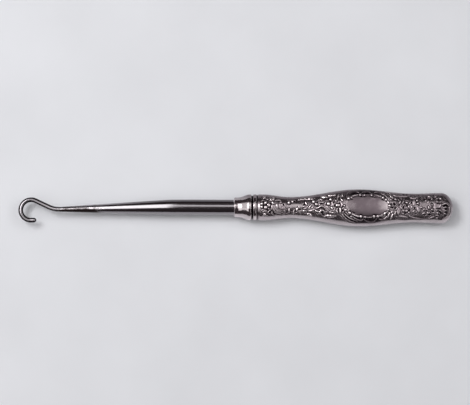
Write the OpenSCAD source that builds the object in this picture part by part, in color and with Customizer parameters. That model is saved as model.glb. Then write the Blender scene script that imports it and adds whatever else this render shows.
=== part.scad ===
// Button hook for boots: a forged steel hook held by its tang in a hollow silver handle.
// The handle is two die-struck halves that meet along its sides, filled with hard pitch,
// with a drawn ferrule and a collar ring at its mouth.
// Sizes are in millimetres. The shank runs along X, with the hook at -X and the handle at +X.
// The loop of the hook lies flat, and the front half of the handle, with its plain oval, faces +Z.
// The origin is below the middle of the length, on the surface that the handle lies on.

/* [Hook] */
// Radius of the loop, to the middle of the wire
loop_r = 4.5; // [3.6:0.1:6.5]
// Diameter of the wire that the hook is bent from
wire_d = 2.1; // [1.6:0.1:2.6]
// Angle between the sloping leg of the hook and the shank
leg_angle = 26.5; // [20:0.5:36]
// Radius of the bend where the leg leaves the shank, to the middle of the wire
neck_bend_r = 7; // [4:0.5:9]
// Straight length at the point of the hook, before its round end
point_len = 1.2; // [0.4:0.1:2.5]

/* [Shank] */
// Diameter of the straight shank in front of the ferrule
shank_d = 6.6; // [5.6:0.1:7.4]
// Length of the straight shank
shank_len = 30; // [18:1:45]
// Length of the taper from the shank down to the wire
taper_len = 47.2; // [30:0.1:65]
// Angle that the taper and the hook lean out of line with the straight shank
lean = 1.5; // [0:0.1:2]

/* [Tang] */
// Diameter of the round spigot that passes through the ferrule
spigot_d = 4.4; // [3.6:0.1:5]
// Length of the spigot behind the shoulder of the shank
spigot_len = 4; // [2:0.5:7]
// Width across the flats of the square tang at its root
tang_root_w = 3; // [2.2:0.1:3.4]
// Width across the flats of the square tang at its tip
tang_tip_w = 1.6; // [0.8:0.1:2.1]
// Length of the square tang
tang_len = 44; // [20:1:60]

/* [Ferrule] */
// Diameter of the ferrule at its front end
ferrule_front_d = 8.4; // [8:0.1:9.4]
// Diameter of the ferrule where its flare begins
ferrule_waist_d = 9.2; // [8.6:0.1:10]
// Length of the plain front of the ferrule
ferrule_front_len = 3.5; // [2:0.1:6]
// Length of the hollow flare behind it
flare_len = 2.7; // [1.5:0.1:4]
// Length of the band at the back of the flare
band_len = 1.3; // [0.8:0.1:3]
// Radius of the rounded edge at the front of the ferrule
front_edge_r = 0.4; // [0.2:0.05:0.6]
// Thickness of the ferrule's wall
ferrule_wall = 0.7; // [0.5:0.05:1]
// Thickness of the sleeve behind the ferrule that carries the ring and the handle
sleeve_wall = 0.5; // [0.4:0.05:0.8]

/* [Collar ring] */
// Diameter that the band, the ring and the mouth of the handle share
collar_d = 11.3; // [10.6:0.1:13]
// Width of the ring along the handle
ring_w = 1.5; // [1:0.1:2.5]
// Radius of the rounded outer edges of the ring
ring_edge_r = 0.35; // [0.15:0.05:0.4]
// Width of the groove in front of the ring
front_groove_w = 0.8; // [0.4:0.05:1.2]
// Width of the groove behind the ring
rear_groove_w = 0.6; // [0.3:0.05:1]

/* [Handle] */
// Length of the straight mouth of the handle
mouth_len = 2.2; // [1.6:0.1:4]
// Length from the mouth to the narrowest place of the neck
neck_len = 11.8; // [8:0.1:20]
// Width of the neck, seen from the front
neck_w = 9.2; // [8:0.1:10.6]
// Thickness of the neck, from front to back
neck_t = 8.8; // [7.8:0.1:10.6]
// Length from the neck to the fullest place of the belly
belly_len = 29.8; // [20:0.1:40]
// Width of the belly
belly_w = 16.2; // [13:0.1:20]
// Thickness of the belly
belly_t = 12.6; // [11.4:0.1:16]
// Length from the belly to the waist
waist_len = 25; // [15:0.5:35]
// Width of the waist
waist_w = 12.6; // [10:0.1:15]
// Thickness of the waist
waist_t = 10.4; // [8.6:0.1:13]
// Length from the waist to the fullest place of the butt
butt_len = 11.4; // [6:0.1:18]
// Width of the butt
butt_w = 13.3; // [11:0.1:16]
// Thickness of the butt
butt_t = 11; // [9:0.1:14]
// Length of the rounded end behind the butt
end_len = 5.1; // [3:0.1:8]
// Thickness of the struck sheet of the two halves
sheet_t = 0.5; // [0.35:0.05:0.7]

/* [Fits] */
// Gap left all round between pieces that slide together before they are fixed
fit_gap = 0.05; // [0.02:0.01:0.1]
// Length of sleeve inside the mouth of the handle
sleeve_grip = 1.8; // [1:0.1:2.5]

/* [Hidden] */
$fn = 64;

// How finely the lofted handle is divided
half_sides = 20;
rings_per_length = [1, 5, 10, 8, 4];
end_rings = 6;

steel = [0.56, 0.56, 0.59];
silver = [0.80, 0.79, 0.78];
pitch = [0.17, 0.12, 0.09];

// Places along the shank, from the front of the ferrule at 0
bend_x = -(shank_len + taper_len);
leg_corner_x = bend_x - neck_bend_r * tan(leg_angle / 2);
loop_x = leg_corner_x - loop_r / sin(leg_angle);
leg_len = loop_r / tan(leg_angle) - neck_bend_r * tan(leg_angle / 2);
hook_end_x = -shank_len + (loop_x + shank_len) * cos(lean) - loop_r - wire_d / 2;
flare_end_x = ferrule_front_len + flare_len;
ferrule_end_x = flare_end_x + band_len;
ring_x = ferrule_end_x + front_groove_w;
mouth_x = ring_x + ring_w + rear_groove_w;
sleeve_end_x = mouth_x + min(sleeve_grip, mouth_len - fit_gap);
handle_end_x = mouth_x + mouth_len + neck_len + belly_len + waist_len + butt_len + end_len;

// The straight stretches of the hook are a hair thicker than its bends and run this far into them,
// and the shank this far into the leaning taper, so that the whole hook is one solid
straight_d = 1.01 * wire_d;
reach = wire_d / 10;

// Radii of the sleeve, which fills the mouth of the handle but for the fit
sleeve_r = collar_d / 2 - sheet_t - fit_gap;
sleeve_in_r = sleeve_r - sleeve_wall;

// Where the handle is fullest and narrowest, with its width and thickness there
key_x = [
    mouth_x,
    mouth_x + mouth_len,
    mouth_x + mouth_len + neck_len,
    mouth_x + mouth_len + neck_len + belly_len,
    mouth_x + mouth_len + neck_len + belly_len + waist_len,
    handle_end_x - end_len
];
key_w = [collar_d, collar_d, neck_w, belly_w, waist_w, butt_w];
key_t = [collar_d, collar_d, neck_t, belly_t, waist_t, butt_t];

middle_x = (hook_end_x + handle_end_x) / 2;
rest_z = max(max(key_t), shank_d) / 2;

// A smooth change from a to b, level at both ends, as u goes from 0 to 1
function ease(a, b, u) = a + (b - a) * (1 - cos(180 * u)) / 2;

// The stretch of the handle that x is in, and the width or thickness there
function stretch_at(x, i = 0) = i == len(key_x) - 2 || x <= key_x[i + 1] ? i : stretch_at(x, i + 1);
function size_at(sizes, x) =
    let (i = stretch_at(x))
    ease(sizes[i], sizes[i + 1], (x - key_x[i]) / (key_x[i + 1] - key_x[i]));

// Cross-sections of the handle, each as its place, half width and half thickness,
// drawn in by inset all round and starting at from_x
function body_sections(inset, from_x) = [
    for (i = [0 : len(key_x) - 2])
        for (j = [0 : rings_per_length[i] - 1])
            let (x = key_x[i] + (key_x[i + 1] - key_x[i]) * j / rings_per_length[i])
            if (x > from_x) [x, size_at(key_w, x) / 2 - inset, size_at(key_t, x) / 2 - inset]
];
function end_sections(inset) = [
    for (j = [0 : end_rings - 1])
        let (turn = 90 * j / end_rings)
        [
            handle_end_x - end_len + (end_len - inset) * sin(turn),
            (butt_w / 2 - inset) * cos(turn),
            (butt_t / 2 - inset) * cos(turn)
        ]
];
function sections(inset, from_x) = concat(
    [[from_x, size_at(key_w, from_x) / 2 - inset, size_at(key_t, from_x) / 2 - inset]],
    body_sections(inset, from_x),
    end_sections(inset)
);

// Points of the sections, each at the given turns about the handle's axis, then the tip
function loft_points(rings, tip_x, turns) = concat(
    [
        for (ring = rings)
            for (turn = turns)
                [ring[0], ring[1] * cos(turn), ring[2] * sin(turn)]
    ],
    [[tip_x, 0, 0]]
);

// Triangles of a lofted skin whose points start at first, with across points in each section,
// facing out or in; a closed skin runs on from the last point of a section to the first
function faced(triangle, out) = out ? [triangle[0], triangle[2], triangle[1]] : triangle;
function skin_faces(first, rings, across, out, closed = false) = [
    for (i = [0 : rings - 1])
        for (k = [0 : across - (closed ? 1 : 2)])
            let (
                here = first + i * across + k,
                beside = first + i * across + (k + 1) % across,
                tip = first + rings * across
            )
            each i < rings - 1
                ? [
                    faced([here, beside, here + across], out),
                    faced([beside, beside + across, here + across], out)
                ]
                : [faced([here, beside, tip], out)]
];

// Triangles along one edge of a shell, between its outer and inner skins
function edge_faces(inner, rings, across, k, out) = [
    for (i = [0 : rings - 1])
        let (
            a = i * across + k,
            a_next = i == rings - 1 ? rings * across : a + across
        )
        each [
            faced([a, a_next, inner + a_next], out),
            faced([a, inner + a_next, inner + a], out)
        ]
];

// Triangles across the open mouth of a shell
function mouth_faces(inner, across) = [
    for (k = [0 : across - 2])
        each [[k, k + 1, inner + k + 1], [k, inner + k + 1, inner + k]]
];

// One struck half of the handle: the front from turn 0 to 180, the back from 180 to 360
module handle_half(from_turn) {
    turns = [for (k = [0 : half_sides]) from_turn + 180 * k / half_sides];
    across = len(turns);
    outer_rings = sections(0, mouth_x);
    rings = len(outer_rings);
    outer = loft_points(outer_rings, handle_end_x, turns);
    inner = loft_points(sections(sheet_t, mouth_x), handle_end_x - sheet_t, turns);
    inner_first = len(outer);
    polyhedron(
        concat(outer, inner),
        concat(
            skin_faces(0, rings, across, true),
            skin_faces(inner_first, rings, across, false),
            edge_faces(inner_first, rings, across, 0, true),
            edge_faces(inner_first, rings, across, across - 1, false),
            mouth_faces(inner_first, across)
        )
    );
}

// The inside of the handle as a solid, drawn in by inset from the outer face, from from_x to the butt
module handle_inside(inset, from_x) {
    across = 2 * half_sides;
    turns = [for (k = [0 : across - 1]) 360 * k / across];
    rings = sections(inset, from_x);
    polyhedron(
        loft_points(rings, handle_end_x - inset, turns),
        concat(
            skin_faces(0, len(rings), across, true, true),
            [[for (k = [0 : across - 1]) k]]
        )
    );
}

// Outer radius of the ferrule at x, and the outline of the hollow inside it
function ferrule_r(x) =
    x <= ferrule_front_len
        ? (ferrule_front_d + (ferrule_waist_d - ferrule_front_d) * x / ferrule_front_len) / 2
        : ease(ferrule_waist_d, collar_d, min(1, (x - ferrule_front_len) / flare_len)) / 2;
flare_steps = 8;
flare_xs = [for (i = [0 : flare_steps]) ferrule_front_len + flare_len * i / flare_steps];
function hollow_r(x) = min(ferrule_r(x) - ferrule_wall, sleeve_in_r);
function hollow_outline(gap, end_x) = concat(
    [[0, ferrule_wall + gap], [hollow_r(ferrule_wall) - gap, ferrule_wall + gap]],
    [for (x = flare_xs) if (x > ferrule_wall + gap) [hollow_r(x) - gap, x]],
    [[sleeve_in_r - gap, end_x], [0, end_x]]
);

// Turns an outline of radius and place about the shank's axis
module turned(outline) {
    rotate([0, 90, 0]) rotate_extrude() polygon(outline);
}

// Puts the assembled hook on the surface, with the middle of its length over the origin
module laid() {
    translate([-middle_x, 0, rest_z]) children();
}

// The square tang of the hook, made larger all round by gap to cut its hole
module tang(gap) {
    root_x = spigot_len - reach;
    translate([root_x, 0, 0]) rotate([0, 90, 0]) rotate(45)
        cylinder(
            r1 = (tang_root_w / 2 + gap) * sqrt(2),
            r2 = (tang_tip_w / 2 + gap) * sqrt(2),
            h = tang_len + reach + gap,
            $fn = 4
        );
}

module bent_wire(bend_r, angle) {
    rotate_extrude(angle = angle) translate([bend_r, 0]) circle(d = wire_d);
}

// The bend, the leg, the loop and the point of the hook, from the end of the taper
module hook_wire() {
    translate([bend_x, neck_bend_r, 0]) rotate(-90 - leg_angle) bent_wire(neck_bend_r, leg_angle);
    translate([loop_x, 0, 0]) {
        rotate(90 - leg_angle) {
            bent_wire(loop_r, 180 + leg_angle);
            translate([loop_r, reach, 0]) rotate([90, 0, 0]) cylinder(d = straight_d, h = leg_len + 2 * reach);
        }
        translate([-reach, -loop_r, 0]) rotate([0, 90, 0]) cylinder(d = straight_d, h = point_len + reach);
        translate([point_len, -loop_r, 0]) sphere(d = straight_d);
    }
}

// Leans what lies beyond the straight shank about the end of the shank
module leaned() {
    translate([-shank_len, 0, 0]) rotate(lean) translate([shank_len, 0, 0]) children();
}

module steel_hook() {
    color(steel) laid() union() {
        leaned() {
            hook_wire();
            turned([
                [0, bend_x - reach],
                [straight_d / 2, bend_x - reach],
                [shank_d / 2, -shank_len],
                [0, -shank_len]
            ]);
        }
        turned([
            [0, -shank_len - reach],
            [shank_d / 2, -shank_len - reach],
            [shank_d / 2, 0],
            [spigot_d / 2, 0],
            [spigot_d / 2, spigot_len],
            [0, spigot_len]
        ]);
        tang(0);
    }
}

module ferrule() {
    edge_steps = 4;
    edge_centre = [ferrule_r(front_edge_r) - front_edge_r, front_edge_r];
    front_edge = [
        for (i = [0 : edge_steps])
            let (turn = -90 + 90 * i / edge_steps)
            edge_centre + front_edge_r * [cos(turn), sin(turn)]
    ];
    color(silver) laid() difference() {
        turned(concat(
            [[0, 0]],
            front_edge,
            [for (x = flare_xs) [ferrule_r(x), x]],
            [
                [collar_d / 2, ferrule_end_x],
                [sleeve_r, ferrule_end_x],
                [sleeve_r, sleeve_end_x],
                [0, sleeve_end_x]
            ]
        ));
        turned(hollow_outline(0, sleeve_end_x + ferrule_wall));
        translate([-ferrule_wall, 0, 0]) rotate([0, 90, 0])
            cylinder(d = spigot_d + 2 * fit_gap, h = 3 * ferrule_wall);
    }
}

module collar_ring() {
    inner_r = sleeve_r + fit_gap;
    edge_steps = 4;
    function edge(x, from_turn) = [
        for (i = [0 : edge_steps])
            let (turn = from_turn + 90 * i / edge_steps)
            [collar_d / 2 - ring_edge_r + ring_edge_r * cos(turn), x + ring_edge_r * sin(turn)]
    ];
    color(silver) laid() turned(concat(
        [[inner_r, ring_x]],
        edge(ring_x + ring_edge_r, -90),
        edge(ring_x + ring_w - ring_edge_r, 0),
        [[inner_r, ring_x + ring_w]]
    ));
}

module handle_front_half() {
    color(silver) laid() handle_half(0);
}

module handle_back_half() {
    color(silver) laid() handle_half(180);
}

module pitch_filling() {
    start_x = sleeve_end_x + fit_gap;
    overlap = sheet_t;
    color(pitch) laid() difference() {
        union() {
            handle_inside(sheet_t + fit_gap, start_x);
            turned(hollow_outline(fit_gap, start_x + overlap));
        }
        rotate([0, 90, 0]) cylinder(d = spigot_d + 2 * fit_gap, h = spigot_len + fit_gap);
        tang(fit_gap);
    }
}

steel_hook();
ferrule();
collar_ring();
handle_front_half();
handle_back_half();
pitch_filling();
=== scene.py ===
"""Finished surfaces of a silver-handled boot button hook, built round its CAD frame.

The steel hook is swept along its path, the ferrule and ring are turned from their outlines, and
the two struck halves of the handle carry their ornament as real relief. Sizes in the tables are
millimetres: x from the front of the ferrule towards the butt, y across the handle, seen from above.
"""

import math

import bpy
import numpy as np
from bpy.props import FloatProperty, FloatVectorProperty, IntProperty, PointerProperty
from mathutils import Matrix, Vector


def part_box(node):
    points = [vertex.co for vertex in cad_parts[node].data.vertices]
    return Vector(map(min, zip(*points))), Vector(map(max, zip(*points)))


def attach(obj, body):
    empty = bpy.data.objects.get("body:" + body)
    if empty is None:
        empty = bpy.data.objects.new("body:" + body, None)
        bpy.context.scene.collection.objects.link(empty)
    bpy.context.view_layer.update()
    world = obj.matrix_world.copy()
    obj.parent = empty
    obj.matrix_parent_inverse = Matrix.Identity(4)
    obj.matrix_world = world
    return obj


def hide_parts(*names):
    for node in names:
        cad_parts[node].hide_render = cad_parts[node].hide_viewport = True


bl_info = {
    "name": "Button hook",
    "version": (1, 0, 0),
    "blender": (4, 5, 0),
    "location": "View3D > Sidebar > Button hook",
    "description": "Builds the polished, struck and oxidised surfaces of a boot button hook",
    "category": "Object",
}

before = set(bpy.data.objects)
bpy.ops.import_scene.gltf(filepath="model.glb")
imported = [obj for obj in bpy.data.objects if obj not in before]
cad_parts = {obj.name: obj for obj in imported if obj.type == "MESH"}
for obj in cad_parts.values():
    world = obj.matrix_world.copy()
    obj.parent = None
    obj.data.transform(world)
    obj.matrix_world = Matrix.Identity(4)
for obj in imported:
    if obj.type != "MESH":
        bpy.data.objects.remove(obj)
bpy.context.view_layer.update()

MM = 0.001
FERRULE_FRONT_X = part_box("ferrule")[0].x
AXIS_Z = (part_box("collar_ring")[0].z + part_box("collar_ring")[1].z) / 2
BODY = "root"
SHARP_ANGLE = math.radians(50)
WELD = 1e-7

POINT_STEPS, LOOP_STEPS, BEND_STEPS, SHANK_STEPS = 8, 72, 16, 104  # of the swept hook
POINT_END = 0.03  # share of the wire that its end closes to
SHOULDER_MM, TANG_LAP_MM = 0.02, 0.2  # length of the shoulder's step, and of the tang inside the spigot

# Where the steel changes, each from its start to its full measure: along the hook, then across it.
# The crest is a share of the wire's radius.
RUST_BEGINS, RUST_ENDS, DARK_HOOK_ENDS = (-80.0, -74.0), (-63.5, -53.0), (-82.0, -62.0)
LEG, POINT = (-90.0, -78.0), (-89.6, -88.6)
RUST_BELOW, UPPER_SIDE, LOWER_SIDE, POINT_SIDE = (-0.5, 1.0), (0.9, 2.4), (0.3, 1.5), (2.0, 2.6)
CREST = (0.6, 1.0)
# Wear of sound steel, of the hook and of the rust, with the rust's share on top; painted shade in dark steel
# on the shank's two sides; and how much painted highlight clears the dark steel from the hook's crest, its
# leg and its point
SOUND_WEAR, HOOK_WEAR, RUST_WEAR, RUST_ON_TOP = 0.15, 0.06, 0.75, 0.48
UPPER_PAINTED_SHADE, LOWER_PAINTED_SHADE = 0.7, 0.5
CREST_PAINTED_HIGHLIGHT, LEG_PAINTED_HIGHLIGHT, POINT_PAINTED_HIGHLIGHT = 0.3, 0.24, 0.4

# Outlines of the turned pieces, as place and radius: the ferrule's hole, flare and sleeve, the round of
# its front edge as place, radius, size and turns, then the same of the ring between its two grooves
FERRULE_HOLE = [(0.0, 2.25), (0.0, 3.8)]
FERRULE_EDGE = (0.4, 3.86, 0.4, (0.3, 0.6, 0.9, 1.2, 1.4))
FERRULE_FLARE = [
    (0.55, 4.258), (1.5, 4.262), (1.75, 4.275), (2.0, 4.313), (2.4, 4.381), (2.8, 4.452), (3.1, 4.507),
    (3.25, 4.552), (3.7, 4.722), (4.3, 4.949), (4.9, 5.176), (5.5, 5.402), (5.85, 5.531), (6.15, 5.599),
    (6.45, 5.636), (6.8, 5.648),
]
FERRULE_BAND = [(7.0, 0.0), (7.15, 0.0), (7.38, 0.06), (7.5, 0.2)]  # place, and depth below the collar
FERRULE_SLEEVE = [(7.5, 5.12), (7.52, 5.1), (12.2, 5.1), (12.2, 4.6), (5.2, 4.5), (0.7, 3.5), (0.7, 2.25)]
RING_FRONT, RING_BACK, RING_EDGE, RING_BORE = 8.3, 9.8, 0.35, 5.15
RING_TURNS = (0.0, 0.4, 0.8, 1.2, 1.57)
RING_SHOULDER = [(0.0, 5.38), (0.15, 5.34), (0.5, 5.34), (0.52, 5.3), (0.52, RING_BORE)]  # behind its back
# Tarnish of the turned pieces, from 0 for bright silver to 1 for black oxide, and painted shade on the
# side towards +Y, between two distances from the axis
BRIGHT, BLACK = 0.05, 1.0
RING_FLANK, RING_GROOVE = [0.5, 0.15], [0.75, 0.6, 0.6, 0.8, 1.0, 1.0]
TURNED_PAINTED_SHADE, TURNED_SHADE_MM = 0.35, (2.5, 5.0)

# Where the handle is fullest and narrowest: place, width and thickness in millimetres
HANDLE_KEYS = (
    (10.4, 11.3, 11.3),
    (12.6, 11.3, 11.3),
    (24.4, 9.2, 8.8),
    (54.2, 16.2, 12.6),
    (79.2, 12.6, 10.4),
    (90.6, 13.3, 11.0),
)
HANDLE_END_MM = 95.7
SHEET_MM = 0.5
LIP, LIP_MM = (10.3, 11.2), 0.16  # the mouth's lip: where it turns in, and how deep
# Rows of a half along its body and round its butt, and columns outside and inside. The columns are
# closer near the seams: shares of the section against shares of the half turn.
BODY_ROWS, BUTT_ROWS, OUTER_COLUMNS, INNER_COLUMNS = 560, 40, 150, 6
SEAM_SHARES, SEAM_TURNS = (0.0, 0.07, 0.93, 1.0), (0.0, 0.15 * math.pi, 0.85 * math.pi, math.pi)
BUTT_TURN = math.radians(89)

# Pebbles of the hammered ground: seed and count, and the ranges of their places along and across the
# handle, their sizes and their heights
PEBBLE_SEED, PEBBLES = 7, 420
PEBBLE_ALONG, PEBBLE_ACROSS = (11.8, 93.0), (-0.8, 0.8)
PEBBLE_SIZE, PEBBLE_HEIGHT = (0.25, 0.5), (-0.06, 0.05)

# Where the struck surface changes: the ornament's start, end and edge; where it turns flatter towards the
# butt; the strip below the middle that carries painted light; the outer parts, which carry painted shade; the
# plain sides; and the plain places
ORNAMENT_BEGINS, ORNAMENT_ENDS, ORNAMENT_EDGE = (11.35, 11.6), (94.4, 95.2), (0.0, 0.4)
BUTT, STRIP_BEGINS, STRIP_ENDS = (68.0, 74.0), (1.0, 2.5), (4.0, 5.5)
OUTER, SIDE_FADE, NECK_TO_OVAL, PLACE_FADE = (4.2, 6.0), (-1.0, 1.0), (30.0, 46.0), (0.4, 1.0)
PROUD_PASSES = 30  # softening that the forms are compared with
# Tarnish of the struck ornament; what is rubbed off it for each millimetre that a form stands proud; the
# painted light on the strip below the middle; and what is rubbed off the tall forms; each with its change
# towards the butt
ORNAMENT_TARNISH, PROUD_RUBBED = (0.43, 0.03), (1.6, -0.95)
STRIP_PAINTED_LIGHT, FORM_RUBBED = (0.12, -0.084), (0.15, -0.13)
# The first is painted shade on the outer parts of the ornament; then the tarnish of the mouth's lip and of
# the butt's pole, and the share of the raised forms kept out of the places below
OUTER_PAINTED_SHADE, LIP_TARNISH, POLE_TARNISH, RAISED_KEPT = 0.08, 0.44, 0.4, 0.6
# The plain sides' rise towards +Y is painted shade; the plain places' rise runs from the neck to the oval
SIDE_TARNISH_AND_PAINTED_SHADE, PLAIN_TARNISH = (0.28, 0.24), (0.32, 0.24)  # at one end, and the rise to the other

# Sizes of the surface patterns in millimetres. Scratches, turning lines and punch marks are finer than
# the render can show, so these three are drawn as coarse as they need to show.
TARNISH_CLOUD, HAND_HAZE, RUST_BLOTCH, RUST_PIT = 2.5 * MM, 3 * MM, 1.4 * MM, 0.8 * MM
SCRATCH, SCRATCH_STRETCH, SCRATCH_TURN = 1.6 * MM, (1.0, 9.0, 9.0), math.radians(24)
TURNING, TURNING_STRETCH = 1.5 * MM, (12.0, 0.5, 0.5)
PUNCH_MARK, PITCH_GRAIN, BOARD_MOTTLE = 0.4 * MM, 0.6 * MM, 40 * MM
MIX_FROM, MIX_TO, MIXED = 6, 7, 2  # a Mix node's sockets for colours

# Level soft panels above the hook: name, from and to along X and along Y in metres, and radiance
PANEL_HEIGHT = 0.8
PANELS = (
    ("key", (-0.52, -0.24), (0.04, 0.34), 12.0),
    ("broad", (-0.62, -0.09), (-0.25, 0.62), 1.7),
    ("front", (-0.8, -0.25), (-0.75, -0.25), 1.0),
    ("spread", (-1.4, -0.62), (-0.25, 0.85), 0.6),
    ("edge", (-0.09, 0.03), (0.06, 0.36), 0.68),
    ("rim", (0.03, 0.09), (-0.1, 0.6), 1.05),
    ("top", (0.09, 0.2), (-0.1, 0.9), 0.55),
    ("side", (0.2, 0.75), (-0.3, 0.55), 1.7),
    ("low", (0.13, 0.8), (-1.3, -0.35), 0.38),
)
WORLD_COLOUR, WORLD_STRENGTH = "#B5A6AC", 0.1
FLOOR_REACH = 3.0  # metres from its middle
CAMERA_ELEVATION, CAMERA_ROLL = math.radians(84), math.radians(0.26)
CAMERA_DISTANCE, VIEW_WIDTH = 0.9, 0.2058  # metres
CAMERA_TARGET = Vector((-0.26 * MM, 2.1 * MM, AXIS_Z))
SENSOR_MM = 36.0

# Ornament of the die, in millimetres. A boss is x, y, radius and height, or x, y, half length, half width,
# turn in degrees and height. A rib is half width, height, and x and y of each of its points. A hollow is
# x, y and radius, or x, y, half length and half width, with its turn if it has one. A groove is half width,
# and x and y of each of its points.
BOSSES = (
    (13.09, 3.83, 0.7, 0.42), (12.0, 1.06, 0.76, 0.325), (13.79, 1.56, 0.81, 0.325),
    (14.97, 0.43, 0.96, 0.325), (12.04, -0.39, 0.7, 0.325), (13.75, -0.59, 0.86, 0.325),
    (16.99, 3.25, 0.7, 0.42), (15.98, 2.85, 1.17, 0.55, -54, 0.42), (16.99, 1.41, 1.16, 0.55, -40, 0.22),
    (15.19, -2.26, 1.18, 0.45, 48, 0.325), (21.23, -0.82, 0.55, 0.08), (20.23, 1.97, 0.5, 0.08),
    (22.07, -0.9, 1.17, 0.4, -66, 0.08), (23.9, 1.78, 0.7, 0.325), (25.44, 2.41, 0.6, 0.22),
    (27.34, -1.18, 1.16, 0.6, 66, 0.36), (30.43, 0.05, 0.55, 0.22), (31.35, 1.39, 1.13, 0.58, -56, 0.31),
    (30.51, -1.83, 0.96, 0.5, 4, 0.22), (23.93, -1.54, 1.4, 0.55, -89, 0.34),
    (25.92, -2.27, 1.25, 0.48, 76, 0.34), (22.15, -1.65, 0.74, 0.35, 70, 0.08),
    (28.59, -2.51, 0.81, 0.3, -48, 0.08), (32.84, 3.49, 0.65, 0.5), (29.16, 3.1, 0.45, 0.48),
    (30.91, 3.25, 0.45, 0.48), (34.59, 2.24, 0.73, 0.325), (35.81, 1.02, 0.73, 0.325),
    (32.84, -3.36, 1.43, 0.6, -18, 0.42), (39.84, 1.5, 1.03, 0.4, -87, 0.22), (41.07, 1.25, 0.86, 0.325),
    (41.94, 3.18, 0.68, 0.325), (42.47, 5.02, 0.55, 0.325), (42.51, -0.67, 0.97, 0.63, -51, 0.325),
    (43.6, -0.44, 0.84, 0.4, -26, 0.08), (45.09, 0.5, 1.11, 0.77, 8, 0.325), (44.31, 2.55, 0.55, 0.22),
    (45.22, 4.0, 1.57, 0.5, 70, 0.42), (47.11, 4.89, 0.87, 0.5, -81, 0.42), (47.9, 0.3, 0.5, 0.325),
    (46.1, -1.81, 1.8, 0.63, -88, 0.42), (44.7, -2.18, 1.25, 0.4, -70, 0.22), (48.42, -1.53, 0.65, 0.22),
    (42.86, -2.68, 0.81, 0.35, 9, 0.22), (41.77, -2.56, 0.4, 0.08), (40.98, -3.88, 0.55, 0.325),
    (49.82, 3.65, 0.65, 0.29), (51.14, 4.1, 0.38, 0.2), (54.94, 5.32, 0.58, 0.27), (56.83, 5.25, 0.48, 0.2),
    (59.93, 5.32, 0.58, 0.27), (64.84, 4.1, 0.58, 0.28), (66.2, 3.28, 0.53, 0.2), (67.64, 0.49, 0.65, 0.325),
    (50.3, -2.83, 0.68, 0.29), (55.21, -4.44, 0.65, 0.28), (57.18, -4.64, 0.45, 0.18),
    (60.85, -4.34, 0.68, 0.28), (62.65, -4.28, 0.5, 0.18), (65.69, -2.79, 1.12, 0.55, 41, 0.325),
    (67.16, -1.26, 0.53, 0.2), (69.0, 4.09, 0.67, 0.4, -52, 0.22), (68.3, 3.3, 0.4, 0.08),
    (70.22, 3.62, 0.78, 0.35, -61, 0.08), (70.09, -2.86, 1.54, 0.4, 70, 0.22),
    (68.56, -4.23, 1.53, 0.45, 58, 0.325), (67.29, -3.67, 1.62, 0.4, 63, 0.22),
    (68.69, -2.39, 0.83, 0.3, 60, 0.08), (72.2, 2.09, 1.22, 0.5, 62, 0.22),
    (73.66, 2.26, 1.46, 0.45, 59, 0.22), (75.18, 1.92, 0.92, 0.6, -36, 0.27), (74.63, 0.69, 0.4, 0.22),
    (76.03, -0.04, 1.09, 0.5, -67, 0.325), (76.66, 2.0, 1.28, 0.35, 69, 0.22),
    (78.37, 2.13, 1.48, 0.76, 85, 0.08), (79.72, 2.88, 0.65, 0.325), (80.12, 1.58, 0.6, 0.22),
    (72.77, -0.55, 1.29, 0.55, -55, 0.08), (73.83, -1.68, 0.7, 0.22), (75.18, -1.8, 0.7, 0.22),
    (76.11, -2.49, 0.5, 0.22), (78.28, -1.77, 1.12, 0.5, 34, 0.22), (73.57, -3.08, 0.45, 0.08),
    (71.54, -2.27, 2.05, 0.65, 79, 0.08), (77.4, -0.07, 0.93, 0.4, 86, 0.08),
    (80.25, -1.44, 1.44, 0.6, -80, 0.08), (81.56, -0.29, 0.45, 0.08), (82.66, -1.03, 0.5, 0.22),
    (72.81, 0.67, 0.72, 0.35, 16, 0.08), (83.58, 2.83, 0.4, 0.08), (84.5, 2.4, 0.76, 0.35, 85, 0.08),
    (81.91, 3.74, 0.81, 0.35, 90, 0.08), (84.71, -0.31, 1.24, 0.5, -81, 0.325),
    (86.16, 0.93, 0.74, 0.45, -5, 0.22), (86.16, -1.15, 0.82, 0.55, 3, 0.325),
    (82.66, -2.69, 0.87, 0.5, 9, 0.22), (84.54, -2.56, 1.03, 0.5, 9, 0.22), (87.82, 4.98, 0.65, 0.325),
    (88.44, 3.67, 0.64, 0.35, 24, 0.22), (88.44, 2.29, 0.73, 0.4, 13, 0.325),
    (89.79, 0.7, 1.39, 0.45, 70, 0.12),
)
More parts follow.
